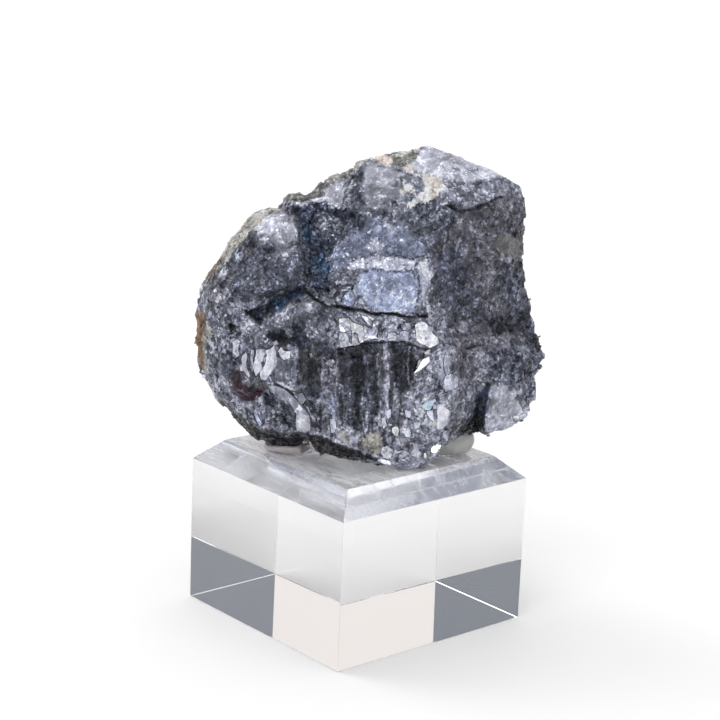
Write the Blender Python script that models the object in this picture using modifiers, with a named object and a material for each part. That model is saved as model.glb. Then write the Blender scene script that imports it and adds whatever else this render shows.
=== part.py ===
"""A mass of native antimony held by putty on a clear bevelled acrylic block.

The origin is the centre of the block's underside, with the block's sides along X and Y.
The specimen is laid out in its own frame, in millimetres: x runs to the right along its broad
front, y runs back from that front and z runs up from the surface that the block stands on.
"""

import math

import bmesh
import bpy
from mathutils import Matrix, Vector, noise

MM = 0.001
COLLECTION = "native_antimony"

# The block.
BLOCK_SIDE = 31.75
BLOCK_HEIGHT = 22.7
BEVEL_INSET = 3.2
BEVEL_DROP = 2.9
FOOT_CHAMFER = 0.3

# Touching pieces keep this much apart.
GAP = 0.3

# The specimen's broad front looks past one corner of the block.
SPECIMEN_TURN = math.radians(-40.83)
LOWEST_STONE = BLOCK_HEIGHT + GAP
VOXEL = 0.35
STONE_TRIANGLES = 8400
PUTTY_VOXEL = 0.25
PUTTY_TRIANGLES = 320

# Gaps narrower than twice CLOSING are filled to within CLOSING_SHY of the surface over them.
CLOSING = 1.5
CLOSING_SHY = 0.35

# Each lump of the mass is the convex hull of its corners.
LUMPS = {
    "core": [
        (-9, -3, 24.5), (7, -5, 23.6), (13, -2, 27), (12, 7, 25.5), (2, 11, 24.5), (-8, 8, 25),
        (-18, 2, 36), (-14, -6, 36), (-9, -6, 44), (0, -8, 44), (13, -3.5, 36), (19, 2, 38),
        (16, 10, 40), (3, 13, 38), (-10, 12, 39), (-17, 8, 40),
        (-15, -1, 50), (-10, -2, 54), (-6, -3.6, 54), (6, -4.5, 54), (18, 2, 54), (14, 9, 55),
        (2, 11, 54), (-9, 8, 52), (21, 1.5, 42), (20.5, 3, 36), (8.2, -4.4, 57.2), (7.4, -2.6, 58.6),
        (-2, 8, 57), (12, 8, 57),
    ],
    "cap": [
        (7, 3, 63.2), (11, 2.5, 62.4), (17.2, 0, 60.1), (12.2, -3, 59.4), (8.8, -2, 60), (5.7, 0, 60.7),
        (2.5, 1.5, 62), (0.3, 1.5, 61.6), (-1.4, 1, 60.8), (3, 7, 60), (9, 8, 60), (16, 6, 58),
        (18, 3, 54), (2, 8, 54), (10, -3, 54),
    ],
    "pyramid": [
        (-1.4, -1, 61.1), (2.4, 0, 60.8), (4, 0, 60.1), (6.8, -1, 59.3), (5.5, -5, 56.7),
        (3.6, -6.5, 55.9), (-1.1, -6.2, 56.1), (-2.8, -2, 59), (-2.7, -6, 53.6), (7, -5, 53), (5, 4, 56),
        (-3, 4, 57),
    ],
    "shoulder": [
        (-10.6, 0, 56.5), (-7.5, 0, 56.8), (-6.2, 0.8, 58.2), (-3.4, 0.5, 59.6), (-1.5, 1, 60.4),
        (-9.8, -2.5, 55.4), (-5.4, -2.5, 56.5), (-3.3, -4.2, 55.8), (-6.1, -1, 57.3), (-8, -2.5, 53),
        (-3, -4, 52), (-9, 5, 54), (-2, 7, 57), (-12, 2, 53.6), (-10, -3, 53),
    ],
    "column": [
        (-4.3, -8, 50.6), (7.8, -8.6, 50.6), (8.1, -10.6, 43.9), (-0.4, -11, 44.6), (-5, -10.2, 44.3),
        (-7, -9, 46.2), (-3, -6, 53.5), (-1.2, -6.6, 55.4), (5.5, -5.6, 56.3), (7.3, -7.4, 53),
        (-4, -4, 44), (8, -4, 44), (0, -3, 55),
    ],
    "right_block": [
        (9.4, -3, 59.4), (17.5, 0, 59.5), (20.1, 2, 58), (9.4, -5.8, 57.6), (17.4, -1.6, 57.8),
        (20.4, 1.6, 56.4), (8, -7.4, 54.6), (7.9, -8.8, 51.6), (8.2, -10.2, 43.4), (12.7, -7.4, 41.4),
        (18.3, -2.4, 39.6), (20, 1.5, 50), (21, 1, 44.3), (22, 0.8, 41.6), (22.2, 1.5, 38), (12.5, -6.8, 38), (19, 8, 56), (19.5, 8, 44),
        (8, 2, 46),
    ],
    "dome": [
        (-12.1, -1, 54.9), (-9.9, -2.5, 55), (-14.7, -2, 54.1), (-8.6, -6, 52.8), (-8.8, -7, 51.3),
        (-10.8, -5, 53.9), (-13, -7, 52), (-16.1, -3, 52), (-18, -1, 49.6), (-7.8, -8.5, 46.4),
        (-12, -9.8, 46), (-15.8, -8.5, 43.2), (-18.5, -7, 43.7), (-21.1, 0, 45), (-22, 0, 41.8),
        (-20.6, -3.5, 43), (-19, 6, 44), (-14, 6, 52), (-9, -3, 44),
    ],
    "left_flank": [
        (-22, 0, 41.8), (-22, -1, 40.4), (-22.2, -1, 37.1), (-21.7, -1, 34.5), (-20.4, -2, 32.3),
        (-15.8, -8.2, 42.9), (-20, -4.5, 41.8), (-19, -6, 38.5), (-17.7, -6.4, 33), (-13.8, -9.4, 41.6),
        (-19.8, -2, 30.6), (-14.5, -8.4, 32), (-20, 5, 40), (-19, 5, 33), (-12, -4, 30), (-17.5, -1, 42.6),
    ],
    "front_left": [
        (-13.2, -9.6, 41.9), (-8.8, -10.5, 44.7), (-6.2, -10.5, 44.8), (-3.3, -10.8, 44.3),
        (-13.8, -10.2, 38.8), (-10.8, -10.8, 34.4), (-11.8, -10.2, 33.4), (-4.5, -11.8, 40),
        (-7.7, -11.1, 30.4), (-7.3, -10.6, 27.7), (-4.3, -10.6, 27), (-13.2, -6, 32), (-6, -6, 44.2),
        (-5, -6, 26),
    ],
    "front_centre": [
        (-3.3, -11.4, 43.3), (0, -11.6, 43.8), (3.8, -11.6, 43.5), (6.3, -12, 42.8), (8.5, -12, 42),
        (9.4, -12.2, 40.8), (-4.2, -12.8, 39.6), (1.5, -13.3, 41.1), (4.8, -13.3, 41.1), (8, -13.1, 39.9),
        (-7.3, -10.6, 27.7), (-4.3, -10.6, 27), (-1.7, -10.6, 25.8), (0.8, -10.6, 25.1), (4, -9.9, 23.8),
        (6.6, -9.8, 23), (8, -9.8, 23.7), (9.4, -9, 24.6), (9.6, -11.6, 29), (0.8, -5.5, 23.2),
        (-5, -5, 24), (8, -4.5, 23.4), (0, -7, 44.6), (8, -8, 44),
    ],
    "knob": [
        (6.6, -13.6, 36.9), (8.4, -13.6, 39.1), (10.4, -12.6, 39.8), (11.9, -11, 38.3), (11.2, -13, 32.9),
        (9.6, -12.6, 29.2), (7.4, -13.5, 33.2), (6.6, -12.6, 30.4), (12.6, -10, 32.6), (12.5, -10, 39.4),
        (11.3, -8, 26.4), (12.8, -7, 41), (8, -8, 42), (6, -9, 26), (12, -6, 27),
    ],
    "right_lump": [
        (12.9, -8, 40.6), (18.3, -3, 39.8), (21.6, 0.5, 39.2), (23.1, 0.5, 38.4), (24.1, 0, 35.7),
        (22.6, -1, 34.2), (20.4, -3.6, 36.2), (16.3, -7.4, 34.2), (13.2, -8.6, 35.4), (12.4, -8.6, 38),
        (21, 7, 38), (21, 6, 33), (14, 4, 33),
    ],
    "valley_side": [
        (12.4, -9.8, 38), (12.2, -9.8, 30), (11.6, -8, 26.6), (15.4, -5.8, 36), (15.4, -5, 29), (15, -3, 26.4),
        (12, -2, 36), (12, -2, 26),
    ],
    "right_foot": [
        (22.6, -1, 34.6), (23, -1, 31.7), (22.8, -1, 30.2), (21.6, -3, 30), (21.7, -3.5, 28.7),
        (19.8, -4.6, 27.8), (16.5, -6.1, 27), (16, -7.2, 29.2), (16.2, -7.4, 33.8), (19.6, -5, 35),
        (14.6, -1, 26.6), (20, 5, 29), (21, 5, 35), (14, 5, 27), (15.2, -4, 36),
    ],
    "left_foot": [
        (-18.8, -2, 29), (-16.8, -3, 27.2), (-14.9, -3, 25), (-13.6, -3, 23.9), (-11.5, -3, 23.2),
        (-9.4, -3, 23.6), (-8.4, -4, 23.5), (-19.6, -2, 31), (-17.6, -5, 30.4), (-14.6, -6, 27.6),
        (-11.5, -7.2, 26.6), (-12.6, -7.8, 30.2), (-9, -7.6, 29), (-8, -7, 26), (-12, 4, 24.5),
        (-17, 4, 29), (-6, 2, 24),
    ],
    "back_left": [
        (-19, 5, 44), (-18, 9, 41), (-12, 13, 44), (-6, 14, 41), (-8, 13, 32), (-15, 10, 33),
        (-13, 7, 50), (-6, 10, 52), (-4, 8, 32),
    ],
    "back_right": [
        (3, 14, 46), (11, 13.5, 47), (17, 10, 50), (19, 9, 43), (14, 12, 36), (5, 14.5, 38),
        (2, 10, 55), (13, 10, 56), (8, 6, 36),
    ],
    "back_foot": [
        (-6, 10, 26), (3, 12.5, 25.5), (10, 10, 26.5), (-7, 12, 33), (4, 14, 34), (12, 10, 33), (2, 4, 24),
    ],
}

# Shell-shaped hollows broken out of the lower front: each one's centre and its three radii.
HOLLOWS = {
    "left_scoop": ((-0.2, -14.7, 36.4), (3.9, 3.9, 5.2)),
    "right_scoop": ((5.9, -14.8, 37.0), (2.6, 3.5, 4.4)),
    "ribbon_hollow": ((-9.7, -11.4, 30.4), (1.2, 1.7, 2.1)),
    "left_pit": ((-17.2, -7.6, 40.4), (0.8, 1.6, 1.0)),
}

# The putty's corners, before the specimen presses its shape into them.
PUTTY = {
    "putty_right": [
        (10, -3.4, 23), (12.6, -3.2, 23), (14.6, -1.6, 23), (14.4, 1.4, 23), (12, 2.6, 23), (9.4, 0.6, 23),
        (10.4, -3, 27), (13, -3.3, 26.4), (15.2, -1.8, 25.4), (15, 1.4, 25.8), (12, 2.6, 28), (9.6, 1, 28),
        (13.2, -3.7, 24.6), (15.4, -0.6, 24.2), (10.6, -3.8, 24.8),
    ],
    "putty_left": [
        (-12.8, -3.4, 23), (-11.4, -5, 23), (-7.4, -6, 23), (-6.2, -3, 23), (-7, 2, 23), (-12.4, 2, 23),
        (-12.6, -3, 23.9), (-11.2, -4.5, 24), (-7.6, -5.5, 24.2), (-6.6, -3, 24.2), (-7.4, 1.6, 25),
        (-12, 1.6, 25),
    ],
}

# Wedges cut into the mass: the corners of each one's hull.
CUTS = {
    "shoulder_step": [
        (-11.2, -5, 57), (-7.4, -5, 57.1), (-6, -5, 58.8), (-6, -5, 62), (-11.2, -5, 62),
        (-11.2, 5, 57), (-7.4, 5, 57.1), (-6, 5, 58.8), (-6, 5, 62), (-11.2, 5, 62),
    ],
    "valley": [
        (12, -12, 31), (12.4, -12, 24), (15.9, -12, 24), (16.3, -12, 31), (16.2, -12, 35), (15, -4, 26),
        (15.2, -4, 27), (15.3, -5.4, 33),
    ],
}


def collection(name):
    made = bpy.data.collections.new(name)
    bpy.context.scene.collection.children.link(made)
    return made


def placed(name, mesh, home):
    made = bpy.data.objects.new(name, mesh)
    home.objects.link(made)
    return made


def evaluated_mesh(source):
    graph = bpy.context.evaluated_depsgraph_get()
    return bpy.data.meshes.new_from_object(source.evaluated_get(graph))


def material(name, colour, roughness, metallic=0.0, transmission=0.0, ior=1.5):
    made = bpy.data.materials.new(name)
    made.use_nodes = True
    shader = made.node_tree.nodes["Principled BSDF"]
    shader.inputs["Base Color"].default_value = (*colour, 1)
    shader.inputs["Roughness"].default_value = roughness
    shader.inputs["Metallic"].default_value = metallic
    shader.inputs["Transmission Weight"].default_value = transmission
    shader.inputs["IOR"].default_value = ior
    made.diffuse_color = (*colour, 1)
    return made


def add_hull(bm, corners):
    """The convex hull of corners in millimetres, added to bm as a shell of its own."""
    points = [bm.verts.new(Vector(corner) * MM) for corner in corners]
    hull = bmesh.ops.convex_hull(bm, input=points)
    inside = [v for v in hull["geom_interior"] if isinstance(v, bmesh.types.BMVert)]
    bmesh.ops.delete(bm, geom=inside, context="VERTS")


def finish_mesh(bm, name):
    bmesh.ops.recalc_face_normals(bm, faces=bm.faces)
    made = bpy.data.meshes.new(name)
    bm.to_mesh(made)
    bm.free()
    return made


def remeshed(mesh, size, home):
    """One closed skin round everything in mesh."""
    carrier = placed("carrier", mesh, home)
    skin = carrier.modifiers.new("skin", "REMESH")
    skin.mode = "VOXEL"
    skin.voxel_size = size * MM
    made = evaluated_mesh(carrier)
    bpy.data.objects.remove(carrier)
    return made


def swollen(mesh, distance):
    """Moves every vertex of mesh outward along its normal; distance in millimetres."""
    normals = [v.normal.copy() for v in mesh.vertices]
    for vertex, normal in zip(mesh.vertices, normals):
        vertex.co += normal * distance * MM
    return mesh


def gaps_filled(mesh, home):
    """Mesh with the gaps between its lumps filled, so that nothing runs through the mass."""
    backing = remeshed(swollen(mesh.copy(), CLOSING), VOXEL, home)
    swollen(backing, -CLOSING - CLOSING_SHY)
    bm = bmesh.new()
    bm.from_mesh(mesh)
    bm.from_mesh(backing)
    both = bpy.data.meshes.new("both")
    bm.to_mesh(both)
    bm.free()
    return remeshed(both, VOXEL, home)


def cutter(name, mesh, home):
    made = placed(name, mesh, home)
    made.hide_render = True
    made.display_type = "WIRE"
    return made


def cut_by(mesh, tool, home):
    carrier = placed("carrier", mesh, home)
    cut = carrier.modifiers.new("cut", "BOOLEAN")
    cut.operation = "DIFFERENCE"
    cut.object = tool
    made = evaluated_mesh(carrier)
    bpy.data.objects.remove(carrier)
    return made


def broken_relief(point, cell, tilt, seed):
    """How far a point stands out, with one tilted flat to each cell of a broken surface."""
    spot = point / (cell * MM) + Vector((seed, seed, seed))
    centre = noise.voronoi(spot)[1][0]
    lean = noise.cell_vector(centre * 7.3) - Vector((0.5, 0.5, 0.5))
    return (spot - centre).dot(lean) * cell * tilt * MM


def roughen(mesh):
    normals = [v.normal.copy() for v in mesh.vertices]
    for vertex, normal in zip(mesh.vertices, normals):
        large = broken_relief(vertex.co, 5.0, 0.1, 3.0)
        small = broken_relief(vertex.co, 2.0, 0.12, 11.0)
        vertex.co += normal * (large + small)
        vertex.co.z = max(vertex.co.z, LOWEST_STONE * MM)


def decimated(mesh, triangles, home):
    carrier = placed("carrier", mesh, home)
    carrier.modifiers.new("triangles", "TRIANGULATE")
    thin = carrier.modifiers.new("thin", "DECIMATE")
    thin.ratio = triangles / sum(len(p.vertices) - 2 for p in mesh.polygons)
    made = evaluated_mesh(carrier)
    bpy.data.objects.remove(carrier)
    return made


def specimen(parts, cutters):
    bm = bmesh.new()
    for corners in LUMPS.values():
        add_hull(bm, corners)
    mesh = gaps_filled(remeshed(finish_mesh(bm, "lumps"), VOXEL, cutters), cutters)

    bm = bmesh.new()
    for corners in CUTS.values():
        add_hull(bm, corners)
    for centre, radii in HOLLOWS.values():
        shape = Matrix.LocRotScale(Vector(centre) * MM, None, Vector(radii) * MM)
        bmesh.ops.create_icosphere(bm, subdivisions=3, radius=1, matrix=shape)
    tool = cutter("specimen_cutter", finish_mesh(bm, "specimen_cutter"), cutters)
    mesh = remeshed(cut_by(mesh, tool, cutters), VOXEL, cutters)

    roughen(mesh)
    mesh = decimated(mesh, STONE_TRIANGLES, cutters)
    mesh.name = "antimony"
    made = placed("antimony", mesh, parts)
    made.rotation_euler.z = SPECIMEN_TURN
    mesh.materials.append(material("native_antimony", (0.16, 0.17, 0.2), 0.35, metallic=0.8))
    return made


def grown_specimen(stone, cutters):
    """A skin that stands the touching gap outside the specimen."""
    skin = remeshed(swollen(stone.data.copy(), GAP), GAP, cutters)
    return cutter("grown_specimen", skin, cutters)


def putty(name, corners, grown, colour, clear, parts, cutters):
    """A rounded lump between the block and the specimen, with the specimen's shape pressed into it."""
    bm = bmesh.new()
    add_hull(bm, corners)
    pressed = cut_by(remeshed(finish_mesh(bm, name), VOXEL, cutters), grown, cutters)
    pressed = decimated(remeshed(pressed, PUTTY_VOXEL, cutters), PUTTY_TRIANGLES, cutters)
    for vertex in pressed.vertices:
        vertex.co.z = max(vertex.co.z, LOWEST_STONE * MM)
    pressed.name = name
    made = placed(name, pressed, parts)
    made.rotation_euler.z = SPECIMEN_TURN
    pressed.materials.clear()
    pressed.materials.append(material(name + "_finish", colour, 0.35, transmission=clear, ior=1.5))


def acrylic_block(parts):
    """A square prism whose top edge has a wide bevel and whose foot has a narrow one."""
    half = BLOCK_SIDE / 2
    rings = [
        (half - FOOT_CHAMFER, 0),
        (half, FOOT_CHAMFER),
        (half, BLOCK_HEIGHT - BEVEL_DROP),
        (half - BEVEL_INSET, BLOCK_HEIGHT),
    ]
    bm = bmesh.new()
    add_hull(bm, [(sx * r, sy * r, z) for r, z in rings for sx in (-1, 1) for sy in (-1, 1)])
    bmesh.ops.dissolve_limit(bm, angle_limit=math.radians(1), verts=bm.verts, edges=bm.edges)
    made = placed("acrylic_block", finish_mesh(bm, "acrylic_block"), parts)
    clear = material("clear_acrylic", (0.97, 0.98, 0.98), 0.02, transmission=1.0, ior=1.49)
    made.data.materials.append(clear)
    return made


def main():
    for old in list(bpy.data.objects):
        bpy.data.objects.remove(old)
    parts = collection(COLLECTION)
    cutters = collection("cutters")
    acrylic_block(parts)
    stone = specimen(parts, cutters)
    grown = grown_specimen(stone, cutters)
    putty("putty_right", PUTTY["putty_right"], grown, (0.42, 0.44, 0.4), 0.2, parts, cutters)
    putty("putty_left", PUTTY["putty_left"], grown, (0.8, 0.78, 0.76), 0.8, parts, cutters)


main()
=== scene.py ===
# Native antimony held by putty on a clear bevelled display block.
import math

import bmesh
import bpy
import numpy as np
from mathutils import Matrix, Vector


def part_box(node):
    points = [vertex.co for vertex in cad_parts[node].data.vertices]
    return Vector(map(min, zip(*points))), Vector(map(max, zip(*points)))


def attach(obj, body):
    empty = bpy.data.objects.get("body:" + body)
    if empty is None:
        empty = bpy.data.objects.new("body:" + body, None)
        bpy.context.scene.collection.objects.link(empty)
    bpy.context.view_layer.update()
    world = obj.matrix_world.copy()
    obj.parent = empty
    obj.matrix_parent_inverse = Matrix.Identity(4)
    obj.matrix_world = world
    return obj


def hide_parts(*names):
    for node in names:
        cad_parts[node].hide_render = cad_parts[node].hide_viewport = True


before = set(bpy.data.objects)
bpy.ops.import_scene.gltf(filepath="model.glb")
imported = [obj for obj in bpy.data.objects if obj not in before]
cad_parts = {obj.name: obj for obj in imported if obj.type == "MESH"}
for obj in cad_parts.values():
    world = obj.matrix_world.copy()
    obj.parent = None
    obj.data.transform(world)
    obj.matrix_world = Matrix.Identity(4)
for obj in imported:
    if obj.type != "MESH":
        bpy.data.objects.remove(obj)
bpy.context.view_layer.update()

mm = 0.001
home = bpy.context.scene.collection

# The stone's own axes: x to the right along its broad front, y away behind it, z up.
broadTurn = math.radians(-40.83)
stoneToRow = np.array(Matrix.Rotation(broadTurn, 3, "Z"))

cameraView = {
    "frameSide": 720,       # spots on the stone's front are named in pixels of a frame this wide
    "lens": 100.0,          # mm
    "sensor": 36,
    "elevation": 14.67,     # degrees above the horizon
    "roll": 2.23,
    "distance": 272.7,      # mm from the middle of the block's foot
    "sideways": 0.95,
    "upwards": 33.59,
}


def lookAxes():
    # right, up and back of the camera, in the stone's axes
    tilt = math.radians(cameraView["elevation"])
    roll = math.radians(cameraView["roll"])
    back = np.array([0, -math.cos(tilt), math.sin(tilt)])
    across = np.array([1.0, 0, 0])
    upright = np.cross(back, across)
    right = across * math.cos(roll) + upright * math.sin(roll)
    up = upright * math.cos(roll) - across * math.sin(roll)
    return right, up, back


lookRight, lookUp, lookBack = lookAxes()
lookFrom = (
    lookBack * cameraView["distance"]
    + lookRight * cameraView["sideways"]
    + lookUp * cameraView["upwards"]
)
halfFrame = cameraView["frameSide"] / 2
focal = cameraView["frameSide"] * cameraView["lens"] / cameraView["sensor"]


def frameSpots(points):
    # where points in the stone's axes fall in the frame, and how far off they are
    away = points - lookFrom
    depth = -(away @ lookBack)
    across = halfFrame + focal * (away @ lookRight) / depth
    down = halfFrame - focal * (away @ lookUp) / depth
    return np.stack([across, down], 1), depth


def makeCamera():
    camera = bpy.data.objects.new("camera", bpy.data.cameras.new("camera"))
    home.objects.link(camera)
    camera.data.lens = cameraView["lens"]
    camera.data.sensor_width = cameraView["sensor"]
    camera.data.clip_start = 0.01
    axes = np.stack([lookRight, lookUp, lookBack], 1)
    place = Matrix((stoneToRow @ axes).tolist()).to_4x4()
    place.translation = Vector(stoneToRow @ lookFrom) * mm
    camera.matrix_world = place
    bpy.context.scene.camera = camera


def linearColour(hexText):
    parts = [int(hexText[i:i + 2], 16) / 255 for i in (0, 2, 4)]
    return [part / 12.92 if part <= 0.04045 else ((part + 0.055) / 1.055) ** 2.4 for part in parts]


def addNode(tree, kind, inputs=None, **settings):
    # an input is a value, a socket to link, or a node, which gives its first output
    node = tree.nodes.new(kind if "Node" in kind else "ShaderNode" + kind)
    for name, value in settings.items():
        setattr(node, name, value)
    for socket, value in (inputs or {}).items():
        if isinstance(value, bpy.types.Node):
            value = value.outputs[0]
        if isinstance(value, bpy.types.NodeSocket):
            tree.links.new(value, node.inputs[socket])
        else:
            node.inputs[socket].default_value = value
    return node


def newMaterial(name):
    made = bpy.data.materials.new(name)
    made.use_nodes = True
    return made, made.node_tree, made.node_tree.nodes["Principled BSDF"]


def chance(cells, salt):
    # an even random number from 0 to 1 for each whole-numbered cell
    mixed = cells[:, 0] * 73856093 ^ cells[:, 1] * 19349663 ^ cells[:, 2] * 83492791 ^ salt * 40503
    mixed = (mixed ^ (mixed >> 13)) * 1274126177 & 0xFFFFFFFF
    mixed = (mixed ^ (mixed >> 16)) * 668265263 & 0xFFFFFFFF
    return ((mixed ^ (mixed >> 15)) & 0xFFFFFF) / 0x1000000


def chanceVector(cells, salt):
    return np.stack([chance(cells, salt + k) for k in (0, 1, 2)], 1)


def softNoise(points, size, salt):
    # smooth noise from 0 to 1, with bumps about size mm apart
    spot = points / size
    corner = np.floor(spot).astype(np.int64)
    part = spot - corner
    part = part * part * (3 - 2 * part)
    total = np.zeros(len(points))
    for x in (0, 1):
        for y in (0, 1):
            for z in (0, 1):
                share = np.prod(np.where([x, y, z], part, 1 - part), axis=1)
                total += share * chance(corner + [x, y, z], salt)
    return total


def grainOf(points, size, salt):
    # the nearest of many scattered grain centres to each point: its cell, and the way from it
    spot = points / size
    corner = np.floor(spot).astype(np.int64)
    nearest = np.full(len(points), 1e9)
    cells = corner.copy()
    away = np.zeros((len(points), 3))
    for x in (-1, 0, 1):
        for y in (-1, 0, 1):
            for z in (-1, 0, 1):
                cell = corner + [x, y, z]
                offset = spot - cell - chanceVector(cell, salt)
                distance = (offset ** 2).sum(1)
                closer = distance < nearest
                cells[closer] = cell[closer]
                away[closer] = offset[closer]
                nearest[closer] = distance[closer]
    return cells, away


def facets(points, size, salt, lean, step):
    # height of a surface broken into flat grains, each one leaning and stepped its own way
    cells, away = grainOf(points, size, salt)
    tilt = ((chanceVector(cells, salt + 10) - 0.5) * away).sum(1) * lean
    return (tilt + (chance(cells, salt + 20) - 0.5) * step) * size


def insideBy(spots, outline):
    # pixels from each spot to a closed outline, above zero inside it
    nearest = lineBy(spots, outline + outline[:1])
    corners = np.array(outline, float)
    inside = np.zeros(len(spots), bool)
    for start, end in zip(corners, np.roll(corners, -1, axis=0)):
        along = end - start
        spans = (start[1] > spots[:, 1]) != (end[1] > spots[:, 1])
        rise = along[1] if along[1] else 1e-9
        inside ^= spans & (spots[:, 0] < start[0] + along[0] * (spots[:, 1] - start[1]) / rise)
    return np.where(inside, nearest, -nearest)


def lineBy(spots, path):
    # pixels from each spot to an open line
    nearest = np.full(len(spots), 1e9)
    for start, end in zip(np.array(path[:-1], float), np.array(path[1:], float)):
        along = end - start
        away = spots - start
        part = np.clip(away @ along / (along @ along), 0, 1)
        nearest = np.minimum(nearest, np.linalg.norm(away - part[:, None] * along, axis=1))
    return nearest


def ramp(values, low, high):
    part = np.clip((values - low) / (high - low), 0, 1)
    return part * part * (3 - 2 * part)


def meshPoints(mesh):
    points = np.empty(len(mesh.vertices) * 3, np.float32)
    mesh.vertices.foreach_get("co", points)
    return points.reshape(-1, 3).astype(float) @ stoneToRow / mm


def meshNormals(mesh):
    normals = np.empty(len(mesh.vertices) * 3, np.float32)
    mesh.vertices.foreach_get("normal", normals)
    return normals.reshape(-1, 3).astype(float) @ stoneToRow


def placePoints(mesh, points):
    mesh.vertices.foreach_set("co", (points @ stoneToRow.T * mm).astype(np.float32).ravel())
    mesh.update()


def evaluatedMesh(source):
    graph = bpy.context.evaluated_depsgraph_get()
    return bpy.data.meshes.new_from_object(source.evaluated_get(graph))


def modified(mesh, kind, **settings):
    # mesh after one modifier, as a plain mesh again
    carrier = bpy.data.objects.new("carrier", mesh)
    home.objects.link(carrier)
    modifier = carrier.modifiers.new(kind.lower(), kind)
    for name, value in settings.items():
        setattr(modifier, name, value)
    made = evaluatedMesh(carrier)
    bpy.data.objects.remove(carrier)
    bpy.data.meshes.remove(mesh)
    return made


def weldedCopy(node):
    bm = bmesh.new()
    bm.from_mesh(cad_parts[node].data)
    bmesh.ops.remove_doubles(bm, verts=bm.verts, dist=0.001 * mm)
    made = bpy.data.meshes.new(node + "_work")
    bm.to_mesh(made)
    bm.free()
    return made


def newPiece(name, mesh, material, node):
    mesh.materials.clear()
    mesh.materials.append(material)
    piece = bpy.data.objects.new(name, mesh)
    home.objects.link(piece)
    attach(piece, "root")
    if node:
        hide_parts(node)


def triangleCount(mesh):
    return sum(len(face.vertices) - 2 for face in mesh.polygons)


stone = {
    "skin": 0.17,               # mm between the points of the worked surface
    "quickSkin": 0.34,
    "mostTriangles": 185000,
    "thinLevels": (4, 0.22),    # steps of how plainly the skin shows, and how much less each is thinned
    "grains": [                 # size in mm, lean and step of each size of broken grain
        (2.6, 0.22, 0.08),
        (1.1, 0.28, 0.07),
        (0.55, 0.2, 0.04),
    ],
    "seed": 7,
    "ribs": (0.12, 0.8, 0.7, 0.33, 0.42),   # drawn out, wander, broad and fine size, and height in mm
    "cleavage": (5.2, 97, 0.34, 0.16),      # size in mm, seed, lean and step of the hidden clean breaks
    "stray": (1.7, 0.6, 0.4, 1.6),          # broad and fine size, share of the fine one, and most in mm
    "breakLightAndShade": (0.75, 0.6),   # the least lightness of a clean break, and how much chance adds: painted light and shade for the way each break faces
    "hiddenCalm": 0.75,         # how far the grains stand out on the hidden sides
    "paintedTopLight": 0.35,           # how much brighter the hidden sides are painted where they face up: painted light from above
    # painted highlight on edges and painted shade in hollows
    "edgeHighlightHollowShade": 0.45,
    "edgeShadeMm": 0.1,              # how far an edge stands out, or a hollow sinks, before its painted highlight or shade is full
}

# How the surface can look: tone, share of bright flecks painted as glints, polish of a clean
# cleavage face, upright striation, and how far it is earth and not metal.
finishes = {
    "fresh": ("cecfdc", 0.05, 0.85, 0.35, 0),
    "silver": ("afb2c3", 0.15, 0.75, 0.35, 0),
    "lilac": ("939bb5", 0.12, 0.62, 0.1, 0),
    "ash": ("9a9ca9", 0.1, 0.65, 0.15, 0),
    "grey": ("808391", 0.3, 0.2, 0.1, 0),
    "grain": ("636570", 0.35, 0.0, 0.0, 0),
    "dusk": ("4c4f5b", 0.25, 0.0, 0.0, 0),
    # the darkest finishes are painted shade on the front, the black of its recesses, hollows, scoops, cracks
    # and notch; on the hidden sides the sooty one is a dark patch of the stone's own
    "sootAndShade": ("252730", 0.25, 0.0, 0.1, 0),
    "pitchShade": ("1b1e27", 0.6, 0.0, 0.1, 0),
    "pitchBlueShade": ("1c2836", 0.5, 0.0, 0.0, 0),
    "blue": ("46526a", 0.25, 0.0, 0.0, 0),
    # with stripes: the painted shade of the scoops
    "stripedSootAndShade": ("2e3037", 0.3, 0.0, 0.75, 0),
    "olive": ("4b4b51", 0.25, 0.1, 0.8, 0.1),
    "brown": ("5b5b65", 0.25, 0.1, 0.0, 0.25),
    "worn": ("6b6b6c", 0.02, 0.6, 0.0, 0.5),
    "striped": ("6f707c", 0.27, 0.1, 0.9, 0),
    "crystals": ("999cad", 0.6, 0.0, 0.25, 0),
    "glare": ("fdf8f8", 0.0, 1.0, 0.0, 0),
    "teal": ("aabfd0", 0.2, 0.6, 0.2, 0),
    "wine": ("43263a", 0.12, 0.2, 0.0, 0.2),
    "cream": ("efe5de", 0.0, 0.0, 0.0, 1),
    "pink": ("e0c4b8", 0.0, 0.0, 0.0, 1),
    "rind": ("b8b5af", 0.05, 0.0, 0.0, 0.9),
    "rust": ("6e5643", 0.03, 0.0, 0.2, 0.9),
    "moss": ("5a5957", 0.15, 0.0, 0.0, 0.5),
}

# How marks are set on the front.
marking = {
    "facing": (-0.15, 0.05),    # how far a point turns to the front before it counts as seen
    "behind": (2.0, 3.5),       # mm behind what hides it
    "strays": [                 # size of the breaks in an outline, in pixels, how far they go, and seed
        (11, 0.35, 31), (5, 0.45, 33), (2.4, 0.35, 35),
    ],
    "zoneReach": 12,            # pixels around an outline, or a line, where its mark is worked out
    "lineReach": 8,
    "ragged": 2,                # pixels, where a mark has none of its own
    "lineRagged": 0.9,
    "soft": 2,
    "sinkEdge": (-1, 5),        # pixels inside the outline where sinking starts, and where it is full
    "cutEdge": (0.3, 1.9),      # where a cut stops being full, and where it ends, in half widths
    "paintEdge": (0.5, 1.6),
    "mostPressed": 0.8,         # mm
    "polishCalm": 0.9,          # how much of the broken grain a polished mark takes away,
    "flatCalm": 0.8,            # a pressed one,
    "plateCalm": 0.7,           # and a plate
}


def mark(finish, shade, course, **rest):
    # what a mark is like, how light it is, and its outline or path in pixels of the frame
    return {"finish": finish, "shade": shade, "course": course, **rest}
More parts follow.
